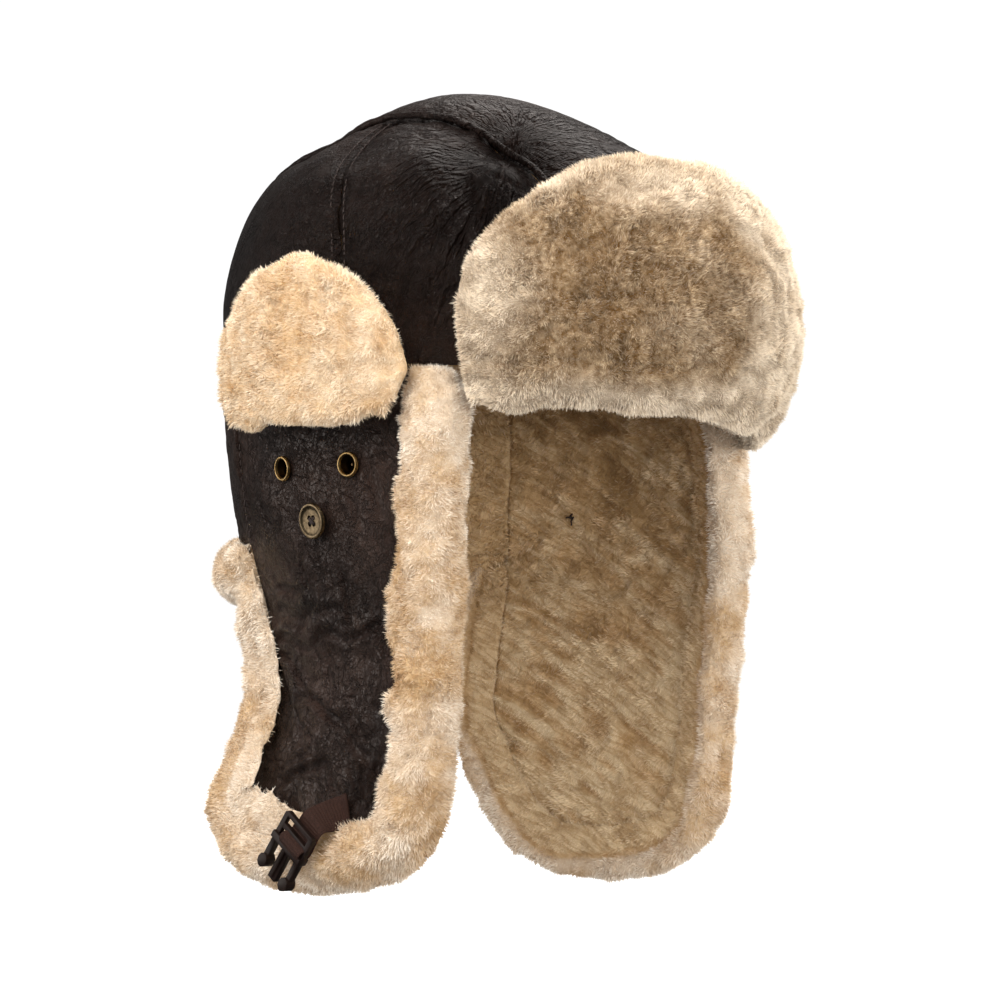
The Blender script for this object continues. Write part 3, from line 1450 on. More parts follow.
def cover_place(sign):
    def place(u, v):
        across, below = 2 * u - 1, 1 - v
        wander = 0.035 * noise_c(points_of(0 * u + 2, v * 7, across * 1.5)) * below
        share = np.sqrt(1 - 0.975 * v**2.4) - 0.06 * below**4 - 0.2 * below**14 + wander
        turn = COVER_TURN + across * (COVER_HALF_WIDTH * share) / CROWN_HALF_WIDTH / DEGREES
        wave = 1.3 * noise_a(points_of(across * 5, 0 * v, 0 * v + 4)) * below**2 + 5 * across**6 * below**4
        droop = 1 - 0.04 * across**2 * v - 0.05 * across**4 * v**5
        return crown_under(sign, turn, -COVER_FOLD_DROP + COVER_HEIGHT * v * droop + wave)

    return place


def hide_pad_mesh(name, place, stand_off, u_range, v_range):
    """The leather back of a turned-up pad."""
    base, normal = pad_base(place, stand_off, *grid(48, 32, u_range, v_range))
    return shell_mesh(name, base + normal * HIDE, base - normal * 0.25 * crumple(base, 14.0)[..., None])


# Brass


def eyelet_places(rows):
    half = EYELET_SPACING / 2 / CROWN_HALF_WIDTH / DEGREES
    return [flap_place(rows, BRASS_TURN + turn, EYELET_DROP) for turn in (-half, half)]


def eyelet_profile():
    foot, rim = LAY_GAP + 0.15, 0.78
    crest = EYELET_FLANGE - rim
    arch = [
        (crest - rim * math.cos(a), foot + 1.25 * math.sin(a) ** 0.8) for a in np.linspace(math.pi, 0.35, 12)
    ]
    return [
        (EYELET_BORE - 2.5, -HIDE * 0.85),
        (EYELET_BORE + 0.4, -HIDE * 0.8),
        (EYELET_BORE + 0.45, foot),
        *arch,
        (EYELET_BORE + 0.75, foot + 0.3),
        (EYELET_BORE + 0.25, foot - 0.2),
        (EYELET_BORE - 0.1, -HIDE * 0.5),
    ]


def ring_mesh(name, profile, segments, origin, up):
    """A closed lathe round a bore."""
    angle = ring_angles(segments)
    vertices = np.array([(r * math.cos(a), r * math.sin(a), z) for r, z in profile for a in angle])
    count = len(profile)
    faces = []
    for i in range(count):
        for k in range(segments):
            n, j = (k + 1) % segments, (i + 1) % count
            faces.append((i * segments + k, i * segments + n, j * segments + n, j * segments + k))
    mesh = closed_mesh(name, placed(vertices, origin, up), faces)
    marked(mesh, "deep", np.repeat([float(r < EYELET_BORE + 0.8) for r, _ in profile], segments))
    return mesh


def button_mesh(name, origin, up):
    outline = (
        (0.8, 0),
        (0.93, 0.2),
        (1, 0.5),
        (0.985, 0.75),
        (0.93, 0.95),
        (0.86, 1),
        (0.8, 0.95),
        (0.75, 0.84),
        (0.7, 0.76),
        (0.6, 0.72),
        (0, 0.72),
    )
    profile = [(0, 0), *((BUTTON_RADIUS * r, BUTTON_THICKNESS * z) for r, z in outline)]
    mesh = closed_mesh(name, *lathe(profile, 64))
    rod, faces = bore_rod(BUTTON_HOLE_RADIUS * 1.2, 4, 20)
    holes = [closed_mesh("bore", rod + np.array([x, y, 0]), faces) for x, y in thread_holes()]
    made = mesh_placed(bored(mesh, holes), origin, up)
    made.set_sharp_from_angle(angle=35 * DEGREES)
    return made


def thread_holes():
    return [
        (BUTTON_HOLE_PITCH * math.cos(a * DEGREES), BUTTON_HOLE_PITCH * math.sin(a * DEGREES))
        for a in (45, 135, 225, 315)
    ]


def cord_rings(path, radius, sides=8):
    path = np.asarray(path, dtype=float)
    along = unit(np.gradient(path, axis=0))
    side = np.zeros_like(path)
    reference = np.array([0.0, 0.0, 1.0]) if abs(along[0][2]) < 0.8 else np.array([1.0, 0.0, 0.0])
    for k, way in enumerate(along):
        reference = reference - way * np.dot(reference, way)
        reference = reference / np.linalg.norm(reference)
        side[k] = reference
    return rings_round(path, side, np.cross(along, side), radius, sides)


def joined_mesh(name, meshes):
    bm = bmesh.new()
    for mesh in meshes:
        bm.from_mesh(mesh)
        bpy.data.meshes.remove(mesh)
    made = bpy.data.meshes.new(name)
    bm.to_mesh(made)
    bm.free()
    return shaded_smooth(made)


def thread_mesh(name, origin, up):
    """The button's thread: a doubled cross over it and a wound shank under it."""
    meshes = []
    top = BUTTON_THICKNESS * 0.5
    for pair in ((0, 2), (1, 3)):
        (x0, y0), (x1, y1) = (thread_holes()[k] for k in pair)
        lift = 0.55 if pair[0] == 0 else 0.95
        for shift in (-0.33, 0.33):
            nx, ny = -(y1 - y0), x1 - x0
            n = math.hypot(nx, ny)
            sx, sy = nx / n * shift, ny / n * shift
            low, high = top + 0.1, top + lift * 0.85
            rows = ((0, -0.6), (0, low), (0.12, high), (0.5, top + lift), (0.88, high), (1, low), (1, -0.6))
            path = [(mix(x0, x1, at) + sx, mix(y0, y1, at) + sy, z) for at, z in rows]
            meshes.append(tube_mesh("strand", cord_rings(rounded_curve(path, 26), 0.33)))
    turns = np.linspace(0, 4 * 2 * np.pi, 110)
    depth = np.linspace(-0.35, -BUTTON_SHANK + 0.1, 110)
    coil = np.stack([2.2 * np.cos(turns), 2.2 * np.sin(turns), depth], axis=-1)
    meshes.append(tube_mesh("wound", cord_rings(coil, 0.35, 6)))
    core, faces = lathe([(0, -0.2), (2.1, -0.2), (2.4, -BUTTON_SHANK + 0.05), (0, -BUTTON_SHANK + 0.05)], 20)
    meshes.append(closed_mesh("core", core, faces))
    return mesh_placed(joined_mesh(name, meshes), origin, up)


# Chin strap


def strap_frame(side):
    surface = flap_surface(side)
    at = (0.24, 0.95)
    out = facing_at(surface, *at)
    out = unit(np.array([out[0], out[1], 0.0]))
    rearwards = unit(np.array([0, 1.0, 0]) - out * out[1])
    down = np.array([0, 0, -1.0])
    return surface(*at), out, rearwards, down


def strap_path(side):
    """Rows of run, height and lean, as in the solids."""
    ply = WEBBING_THICKNESS / 2
    over_roll = ROLL_RADIUS * 1.1 - LINING_DEPTH / 2 + LAY_GAP
    bar = over_roll + max(SOCKET_THICKNESS / 2, 2 * WEBBING_THICKNESS + BAR_THICKNESS / 2 + 3 * LAY_GAP)
    on_leather = ply + 2 * LAY_GAP
    reach = BAR_THICKNESS * 0.75 + LAY_GAP + ply
    second = bar - BAR_THICKNESS / 2 - LAY_GAP - ply
    first = second - WEBBING_THICKNESS - LAY_GAP
    lead, last = STRAP_LEAD, STRAP_LAST_LEAN
    return [
        (0, on_leather, STRAP_FIRST_LEAN),
        (lead * 0.16, on_leather, mix(STRAP_FIRST_LEAN, last, 0.25)),
        (lead * 0.34, mix(on_leather, first, 0.5), mix(STRAP_FIRST_LEAN, last, 0.6)),
        (lead * 0.5, first, last),
        (lead - 1, first, last),
        (lead + reach * 0.8, bar - reach * 0.92, last),
        (lead + reach * 1.05, bar, last),
        (lead + reach * 0.71, bar + reach * 0.71, last),
        (lead, bar + reach, last),
        (lead - reach * 0.71, bar + reach * 0.71, last),
        (lead - reach * 1.03, bar + 0.2, last),
        (lead - reach - 1.5, second + 0.25, last),
        (lead - reach - 6, second, last),
    ]


def strap_mesh(side):
    origin, out, rearwards, down = strap_frame(side)
    rows = strap_path(side)

    def heading(lean):
        return down * math.cos(lean * DEGREES) + rearwards * math.sin(lean * DEGREES)

    base, middles = origin.copy(), []
    for k, (run, height, lean) in enumerate(rows):
        if k:
            base = base + heading((lean + rows[k - 1][2]) / 2) * (run - rows[k - 1][0])
        middles.append([*(base + out * height), lean])
    fine = rounded_curve(middles, 190)
    centre, lean = fine[:, :3], fine[:, 3]
    way = unit(np.gradient(centre, axis=0))
    across = unit(np.cross(np.array([heading(a) for a in lean]), out))
    thick = unit(np.cross(way, across))
    half = np.array([-1, -0.97, -0.86, -0.6, -0.3, 0, 0.3, 0.6, 0.86, 0.97, 1]) * WEBBING_WIDTH / 2
    rib = 0.13 * np.sin(run_along(centre) * 2 * np.pi / 1.25)
    edge = np.minimum(1, (1 - np.abs(half) / (WEBBING_WIDTH / 2)) * 6 + 0.35)
    ribbed = np.abs(half) < WEBBING_WIDTH * 0.47
    bulge = (WEBBING_THICKNESS / 2 - 0.12) * edge[None, :] + rib[:, None] * ribbed[None, :]
    top = centre[:, None] + across[:, None] * half[None, :, None] + thick[:, None] * bulge[..., None]
    low = centre[:, None] + across[:, None] * half[None, ::-1, None] - thick[:, None] * bulge[:, ::-1, None]
    rings = np.concatenate([top, low], axis=1)
    return tube_mesh(f"strap_{side['name']}_webbing", rings)


def bevelled_copy(name, node, width):
    """A CAD node with its edges rounded."""
    mesh = frame["nodes"][node].data.copy()
    mesh.name = name
    bm = bmesh.new()
    bm.from_mesh(mesh)
    bmesh.ops.remove_doubles(bm, verts=bm.verts, dist=1e-5)
    bmesh.ops.dissolve_limit(bm, angle_limit=1 * DEGREES, verts=bm.verts, edges=bm.edges)
    sharp = [e for e in bm.edges if len(e.link_faces) == 2 and e.calc_face_angle() > 25 * DEGREES]
    rounding = {"segments": 2, "profile": 0.5, "affect": "EDGES", "clamp_overlap": True}
    bmesh.ops.bevel(bm, geom=sharp, offset=width * MM, **rounding)
    bm.to_mesh(mesh)
    bm.free()
    shaded_smooth(mesh)
    mesh.set_sharp_from_angle(angle=40 * DEGREES)
    return mesh


# Stitches


def stitch_tree():
    """Stitches laid end to end along the edges of a line."""
    if "stitches" in trees:
        return trees["stitches"]
    kinds = {"Pitch": "NodeSocketFloat", "Stitch": "NodeSocketObject", "Material": "NodeSocketMaterial"}
    t = Tree("stitches", kinds)
    curve = t.node("GeometryNodeMeshToCurve", Mesh=t.input("Geometry"))
    points = t.node("GeometryNodeCurveToPoints", {"mode": "LENGTH"}, Curve=curve, Length=t.input("Pitch"))
    facing = t.named("facing", "FLOAT_VECTOR")
    first = t.node("FunctionNodeAlignRotationToVector", {"axis": "Z"}, Vector=facing)
    second = t.node(
        "FunctionNodeAlignRotationToVector",
        {"axis": "X", "pivot_axis": "Z"},
        Rotation=first,
        Vector=points.outputs["Tangent"],
    )
    stitch = t.node("GeometryNodeObjectInfo", {"transform_space": "ORIGINAL"}, Object=t.input("Stitch"))
    copies = t.node(
        "GeometryNodeInstanceOnPoints",
        Points=points.outputs["Points"],
        Instance=stitch.outputs["Geometry"],
        Rotation=second,
    )
    t.finish(copies)
    trees["stitches"] = t
    return t


def stitch_object(length, radius):
    """One stitch: a short thread whose ends dip into the leather."""
    name = "one_stitch"
    if name in bpy.data.objects:
        return bpy.data.objects[name]
    s = np.linspace(-1, 1, 7)
    path = np.stack([s * length / 2, 0 * s, radius * 0.7 - radius * 1.8 * np.abs(s) ** 4], axis=-1)
    return linked(name, tube_mesh(name, cord_rings(path, radius, 6)))


def stitched(name, lines, pitch, length, radius):
    """Rows of stitches along lines of (points, facings)."""
    vertices, edges, facings = [], [], []
    for points, facing in lines:
        start = len(vertices)
        vertices += (points * MM).tolist()
        facings += facing.ravel().tolist()
        edges += [(start + k, start + k + 1) for k in range(len(points) - 1)]
    mesh = bpy.data.meshes.new(name)
    mesh.from_pydata(vertices, edges, [])
    mesh.attributes.new("facing", "FLOAT_VECTOR", "POINT").data.foreach_set("vector", facings)
    obj = linked(name, mesh)
    amounts = {"Pitch": pitch * MM, "Stitch": stitch_object(length, radius), "Material": finish("thread")}
    obj.data = run_tree(obj, stitch_tree(), amounts)
    obj.data.name = name
    as_piece(obj, "thread")


# Settings


DISTANCE = {"unit": "LENGTH", "subtype": "DISTANCE"}
ANGLE = {"unit": "ROTATION", "subtype": "ANGLE"}


class HelmetSettings(bpy.types.PropertyGroup):
    """Sizes and amounts that a user would change."""

    strand_density: bpy.props.FloatProperty(
        name="Strand density",
        description="Wool strands on each square millimetre of the trims",
        default=2.7,
        min=0.1,
        max=6.0,
    )
    strand_length: bpy.props.FloatProperty(
        name="Strand length",
        description="Length of the wool strands on the trims",
        default=0.0023,
        **DISTANCE,
    )
    lining_length: bpy.props.FloatProperty(
        name="Lining strand length",
        description="Length of the wool strands on the linings",
        default=0.0022,
        **DISTANCE,
    )
    stitch_pitch: bpy.props.FloatProperty(
        name="Stitch pitch",
        description="Distance from one stitch to the next",
        default=0.0034,
        **DISTANCE,
    )
    floor_drop: bpy.props.FloatProperty(
        name="Floor drop",
        description="Distance from the origin down to the floor",
        default=0.46,
        **DISTANCE,
    )
    camera_distance: bpy.props.FloatProperty(
        name="Camera distance",
        description="Distance from the camera to the helmet's middle",
        default=1.55,
        **DISTANCE,
    )
    camera_azimuth: bpy.props.FloatProperty(
        name="Camera azimuth",
        description="Turn of the camera round the helmet",
        default=-46 * DEGREES,
        **ANGLE,
    )
    camera_elevation: bpy.props.FloatProperty(
        name="Camera elevation",
        description="Height angle of the camera",
        default=-3 * DEGREES,
        **ANGLE,
    )
    floor_colour: bpy.props.FloatVectorProperty(
        name="Floor colour",
        description="Colour of the floor and the backdrop",
        default=(0.95, 0.95, 0.95),
        subtype="COLOR",
        size=3,
    )


def settings():
    return bpy.context.scene.helmet


# Operators


class HELMET_OT_crown(bpy.types.Operator):
    """Makes the crown's leather panels and the piping on its seams"""

    bl_idname = "helmet.crown"
    bl_label = "Crown"

    def execute(self, context):
        leather = finish("leather")
        object_from("crown_strip_leather", strip_mesh(), leather, "leather", "crown_strip")
        brow = float(strip_direction(1.0, 0.0)[0])
        turn = SEAM_GAP / 2 / CROWN_HALF_LENGTH / DEGREES
        for side in SIDES:
            tag = side["name"]
            front = f"crown_front_panel_{tag}"
            rear = f"crown_rear_panel_{tag}"
            places = 0, SEAM_OVER - turn, brow, SEAM_FOOT - turn
            mesh = side_panel_mesh(f"{front}_leather", side["sign"], *places)
            object_from(f"{front}_leather", mesh, leather, "leather", front)
            places = SEAM_OVER + turn, 180, SEAM_FOOT + turn, 180 - brow
            mesh = side_panel_mesh(f"{rear}_leather", side["sign"], *places)
            object_from(f"{rear}_leather", mesh, leather, "leather", rear)
            mesh = piping_mesh(side["sign"])
            object_from(f"piping_{tag}_leather", mesh, leather, "leather", f"piping_{tag}")
        return {"FINISHED"}


class HELMET_OT_flaps(bpy.types.Operator):
    """Makes the leather of the ear flaps and the nape"""

    bl_idname = "helmet.flaps"
    bl_label = "Ear flaps and nape"

    def execute(self, context):
        leather = finish("leather")
        for side in SIDES:
            node = f"ear_flap_{side['name']}"
            object_from(f"{node}_leather", flap_mesh(side), leather, "leather", node)
        object_from("nape_panel_leather", nape_mesh(), leather, "leather", "nape_panel")
        return {"FINISHED"}


class HELMET_OT_linings(bpy.types.Operator):
    """Makes the wool inside the crown, the flaps and the nape"""

    bl_idname = "helmet.linings"
    bl_label = "Linings"

    def execute(self, context):
        length = settings().lining_length / MM
        for number, side in enumerate(SIDES):
            surface = flap_surface(side)
            p = surface(*grid(64, 120))
            out = outward_at(p)
            ridges = 1.5 * wool_ridges(p)
            inner = p - out * (LINING_DEPTH + ridges - 1.5)[..., None]
            node = f"flap_lining_{side['name']}"
            mesh = shell_mesh(f"{node}_wool", p - out * (HIDE + LAY_GAP), inner)

            def looks(where, normal):
                inward = np.sum(normal * outward_at(where), axis=-1) < -0.35
                lay = 0.7 * normal + comb(where, 0.35, 5.0, 0.5) + np.array([0.0, 0.2, 0.0])
                pale = lining_pale(where) + 0.85 * wool_ridges(where) + 0.05
                return lay, inward * 1.0, 1.0 + 0.25 * noise_b(where / 14), pale

            amounts = 21 + number, FLAP_LINING_DENSITY, length
            fleece_on(f"{node}_wool", mesh, looks, "lining", node, "lining", *amounts)
        self.crown(length)
        self.nape(length)
        return {"FINISHED"}

    def crown(self, length):
        sides, rings = 84, 36
        turn = np.arange(sides) / sides * 360

        def layer(depth, tuft):
            rows = []
            for i in range(rings):
                tilt = 0.0 if i < 8 else mix(0, 89.2, (i - 8) / (rings - 9))
                drop = CROWN_HEM * (1 - i / 8) if i < 8 else 0.0
                p = drawn_in(shell_point(-1.0, turn, tilt, drop), np.zeros(sides))
                bump = tuft * 1.3 * noise_a.layered(p / 11.0, 2) if tuft else 0.0
                p[:, 0] *= (CROWN_HALF_WIDTH - depth - bump) / CROWN_HALF_WIDTH
                p[:, 1] *= (CROWN_HALF_LENGTH - depth - bump) / CROWN_HALF_LENGTH
                rise = (p[:, 2] - WIDEST_Z) * (CROWN_RISE - depth) / CROWN_RISE
                p[:, 2] = np.where(i < 8, p[:, 2], WIDEST_Z + rise)
                rows.append(p)
            return np.array(rows)

        outer, inner = layer(HIDE + SEAM_SINK + 6 * LAY_GAP, False), layer(LINING_DEPTH, True)
        size = rings * sides
        tops = [layer[-1].mean(axis=0)[None] for layer in (outer, inner)]
        vertices = np.concatenate([outer.reshape(-1, 3), inner.reshape(-1, 3), *tops])
        faces = [list(f) for f in grid_faces(rings, sides, 0, True)]
        faces += [list(f[::-1]) for f in grid_faces(rings, sides, size, True)]
        for k in range(sides):
            n = (k + 1) % sides
            faces.append([size - sides + k, size - sides + n, 2 * size])
            faces.append([2 * size - sides + n, 2 * size - sides + k, 2 * size + 1])
            faces.append([n, k, size + k, size + n])
        mesh = closed_mesh("crown_lining_wool", vertices, faces)

        def looks(where, normal):
            inward = np.sum(normal * outward_at(where), axis=-1) < 0.2
            pale = np.full(len(where), 0.15) + 0.2 * smoothstep(-where[..., 2], 60, 115)
            return normal + comb(where, 0.3, 9.0, 0.6), inward * 1.0, 1.0 + 0 * pale, pale

        amounts = 31, CROWN_LINING_DENSITY, length * 2.4
        fleece_on("crown_lining_wool", mesh, looks, "lining", "crown_lining", "lining", *amounts)

    def nape(self, length):
        p = nape_surface(*grid(120, 36))
        out = outward_at(p)
        inner = p - out * (LINING_DEPTH - 1.2 + 1.2 * noise_a.layered(p / 10.0, 2))[..., None]
        mesh = shell_mesh("nape_lining_wool", p - out * (HIDE + LAY_GAP), inner)

        def looks(where, normal):
            inward = np.sum(normal * outward_at(where), axis=-1) < 0.3
            even = np.ones(len(where))
            return normal + comb(where, 0.5, 9.0, 0.5), inward * even, even, 0.3 * even

        amounts = 41, NAPE_LINING_DENSITY, length * 1.4
        fleece_on("nape_lining_wool", mesh, looks, "lining", "nape_lining", "lining", *amounts)


class HELMET_OT_trims(bpy.types.Operator):
    """Makes the wool rolls round the flaps and under the nape"""

    bl_idname = "helmet.trims"
    bl_label = "Wool trims"

    def execute(self, context):
        for number, side in enumerate(SIDES):
            edge = flap_edge(side, 190)
            middle = flap_surface(side)(0.5, 0.6)
            run = np.linspace(0, 1, len(edge))
            full = 1 - 0.36 * np.exp(-run / 0.02) - 0.36 * np.exp(-(1 - run) / 0.02)
            down = (HEM_Z - edge[:, 2]) / FLAP_LENGTH
            rear = (edge[:, 1] + FLAP_HALF_WIDTH) / (2 * FLAP_HALF_WIDTH)
            low_rear = smoothstep(down, 0.5, 0.88) * smoothstep(rear, 0.3, 1.0)
            lap = 3.2 + 2.4 * noise_a(edge / 9.0) + 1.5 * noise_b(edge / 3.5) + 12.0 * low_rear
            lap = 0.4 + np.maximum(lap, 0.6) * smoothstep(np.minimum(run, 1 - run), 0.0, 0.06)
            name = f"flap_trim_{side['name']}_wool"
            mesh, marks = roll_mesh(name, edge, middle, ROLL_RADIUS, ROLL_INSET, full, lap)
            self.wool(name, mesh, marks, f"flap_trim_{side['name']}", 51 + number, lining_pale)
        steps = 100
        edge = nape_surface(np.linspace(0.01, 0.99, steps), 1.0)
        run = np.linspace(0, 1, steps)
        full = 1 - 0.3 * np.exp(-run / 0.03) - 0.3 * np.exp(-(1 - run) / 0.03)
        lap = np.maximum(2.6 + 1.6 * noise_a(edge / 5.0), 0.6)
        lap = 0.4 + lap * smoothstep(np.minimum(run, 1 - run), 0, 0.1)
        name, middle = "nape_trim_wool", np.array([0, 0, HEM_Z])
        mesh, marks = roll_mesh(name, edge, middle, NAPE_ROLL_RADIUS, NAPE_ROLL_INSET, full, lap)
        self.wool(name, mesh, marks, "nape_trim", 55, lambda where: 0.3, 1.15)
        return {"FINISHED"}

    def wool(self, name, mesh, marks, node, seed, inner_pale, middle=0.72):
        inner, groove, hidden = marks

        def looks(where, normal):
            lay = 0.9 * normal + comb(where, 0.15, 5.5, 0.35)
            pale = np.clip(middle + 0.5 * noise_b(where / 24.0) + 0.3 * noise_c(where / 7.0), 0, 1)
            pale = mix(pale, inner_pale(where), inner) - 1.1 * groove
            size = 1 + 0.25 * noise_c(where / 12.0) - 0.2 * inner
            return lay, (1 - 0.85 * groove) * (1 - hidden), size, pale, inner

        length, density = settings().strand_length / MM, settings().strand_density
        fleece_on(name, mesh, looks, "wool", node, "trim", seed, density, length)


class HELMET_OT_visor(bpy.types.Operator):
    """Makes the turned-up visor"""

    bl_idname = "helmet.visor"
    bl_label = "Visor"

    def execute(self, context):
        rim = 0.3

        def back(u, v):
            return HIDE + 3 * LAY_GAP + rim * VISOR_PILE * (1 - fullness(u, v))

        def front(u, v):
            return HIDE + LAY_GAP + VISOR_PILE * mix(rim, 1, fullness(u, v))

        shape = visor_place, visor_stand_off, 130, 76, front, back, VISOR_HOLLOWS
        mesh = pad_mesh("visor_wool_fleece", *shape)

        def looks(where, normal):
            low = smoothstep(-where[..., 2], 116, 132)
            high = smoothstep(where[..., 2], -66, -40)
            left_end = smoothstep(where[..., 0] + 16 * noise_c(where / 19.0), -22, 44)
            ends = np.maximum(left_end, smoothstep(-where[..., 0], 76, 92))
            pale = 0.06 + 1.0 * low + 0.75 * high + 0.95 * ends + 0.2 * noise_b(where / 17.0)
            pale = np.clip(pale, 0, 1) - 0.22 * hollowed(where, VISOR_HOLLOWS)
            lay, crowd, rim = pad_lay(where, normal, -0.05, 0.4, 0.12, (-20.0, -120.0, -72.0))
            return lay, crowd, 1 + 0.3 * noise_c(where / 12.0) + 0.45 * rim, pale

        amounts = 61, VISOR_DENSITY, VISOR_STRAND
        fleece_on("visor_wool_fleece", mesh, looks, "wool", "visor_wool", "visor", *amounts)
        hide = hide_pad_mesh("visor_hide_leather", visor_place, visor_stand_off, (0.06, 0.94), (0.12, 0.93))
        object_from("visor_hide_leather", hide, finish("leather"), "leather", "visor_hide")
        return {"FINISHED"}


class HELMET_OT_covers(bpy.types.Operator):
    """Makes the turned-up ear covers"""

    bl_idname = "helmet.covers"
    bl_label = "Ear covers"

    def execute(self, context):
        rim = 0.5

        def stand_off(v):
            return np.full(np.shape(v), COVER_AIR)

        def back(u, v):
            return HIDE + LAY_GAP + rim * COVER_PILE * (1 - fullness(u, v))

        def front(u, v):
            return HIDE + LAY_GAP + COVER_PILE * mix(rim, 1, fullness(u, v))

        for number, side in enumerate(SIDES):
            sign = side["sign"]
            place = cover_place(sign)
            name = f"ear_cover_wool_{side['name']}_fleece"
            mesh = pad_mesh(name, place, stand_off, 70, 54, front, back, COVER_HOLLOWS, sign)

            def looks(where, normal, sign=sign):
                pale = np.clip(0.72 + 0.3 * noise_b(where / 15.0) + 0.2 * noise_c(where / 6.0), 0, 1)
                pale = pale - 0.2 * hollowed(where, COVER_HOLLOWS, sign)
                lay, crowd, rim = pad_lay(where, normal, 0.1, 0.3, 0.15, (sign * 105.0, -20.0, -105.0))
                return lay, crowd, 1 + 0.25 * noise_c(where / 10.0) + 0.45 * rim, pale + 0.2 * rim

            node = f"ear_cover_wool_{side['name']}"
            amounts = 71 + number, COVER_DENSITY, COVER_STRAND
            fleece_on(name, mesh, looks, "wool", node, "cover", *amounts)
            node = f"ear_cover_hide_{side['name']}"
            hide = hide_pad_mesh(f"{node}_leather", place, stand_off, (0.12, 0.9), (0.1, 0.9))
            object_from(f"{node}_leather", hide, finish("leather"), "leather", node)
        return {"FINISHED"}


class HELMET_OT_brass(bpy.types.Operator):
    """Makes the eyelets, the buttons and their thread"""

    bl_idname = "helmet.brass"
    bl_label = "Eyelets and buttons"

    def execute(self, context):
        for side in SIDES:
            surface = flap_surface(side)
            for which, at in zip(("front", "rear"), eyelet_places(side["rows"])):
                name = f"eyelet_{which}_{side['name']}"
                mesh = ring_mesh(f"{name}_brass", eyelet_profile(), 48, surface(*at), facing_at(surface, *at))
                object_from(f"{name}_brass", mesh, finish("brass"), "brass", name)
            at = flap_place(side["rows"], BRASS_TURN, BUTTON_DROP)
            normal = facing_at(surface, *at)
            seat = surface(*at) + normal * (BUTTON_SHANK + LAY_GAP)
            node = f"button_{side['name']}"
            mesh = button_mesh(f"{node}_brass", seat, normal)
            object_from(f"{node}_brass", mesh, finish("bronze"), "brass", node)
            node = f"button_thread_{side['name']}"
            mesh = thread_mesh(f"{node}_cross", seat, normal)
            object_from(f"{node}_cross", mesh, finish("thread"), "thread", node)
        return {"FINISHED"}


class HELMET_OT_straps(bpy.types.Operator):
    """Makes the chin strap's webbing and buckle"""

    bl_idname = "helmet.straps"
    bl_label = "Chin strap"

    def execute(self, context):
        for side in SIDES:
            node = f"strap_{side['name']}"
            object_from(f"{node}_webbing", strap_mesh(side), finish("webbing"), "webbing", node)
        for node in ("buckle_plug", "buckle_socket"):
            name = f"{node}_moulding"
            object_from(name, bevelled_copy(name, node, 0.35), finish("plastic"), "plastic", node)
        return {"FINISHED"}


class HELMET_OT_stitching(bpy.types.Operator):
    """Sews the visible seams"""

    bl_idname = "helmet.stitching"
    bl_label = "Stitching"

    def execute(self, context):
        pitch = settings().stitch_pitch / MM
        lines = []
        for side in SIDES:
            for shift in (-STITCH_OFFSET, STITCH_OFFSET):
                v = np.linspace(0.05, 0.97, 80)
                over = np.full(80, SEAM_OVER + shift / STRIP_ARC / DEGREES)
                foot = SEAM_FOOT + shift / CROWN_HALF_LENGTH / DEGREES
                p = panel_point(side["sign"], 1.0, over, foot, v)[0]
                p = drawn_in(p, np.full(80, float(seam_hollow(STITCH_OFFSET))))
                lines.append((p + outward_at(p) * 0.05, outward_at(p)))
            p = flap_surface(side)(1 - STITCH_OFFSET / FLAP_RUN, np.linspace(0.02, 0.36, 60))
            p = p + outward_at(p) * 0.15
            lines.append((p, outward_at(p)))
        stitched("seam_stitches", lines, pitch, pitch * 0.82, 0.27)
        self.knot()
        return {"FINISHED"}

    def knot(self):
        """The tied end of the button's thread, on the far flap's lining."""
        meshes = []
        for seed in range(5):
            turn = np.linspace(0, 1, 9)[:, None]
            at = np.array([seed, 0.5, 0.5])
            way = unit(np.array([-0.6, noise_a(at), noise_b(at)]))
            path = KNOT_PLACE + way * 3.2 * turn + 0.7 * drift(np.array([seed * 3.0, 0, 0]) + turn * 2.0, 1.0)
            meshes.append(tube_mesh("thread", cord_rings(path, 0.38, 6)))
        object_from("thread_knot", joined_mesh("thread_knot", meshes), finish("thread"), "thread")


# What the camera sees at the helmet's distance, in metres
VIEW_WIDTH = 0.4282
VIEW_MIDDLE_Z = -0.162
VIEW_SHIFT = 0.0091

# Strengths of the sky and the floor: as light, in reflections and as seen by the camera
SKY_SOFT = 0.62
SKY_MIRRORED = 0.08
SKY_SEEN = 1.05
FLOOR_MIRRORED = 0.03
FLOOR_SEEN = 1.08


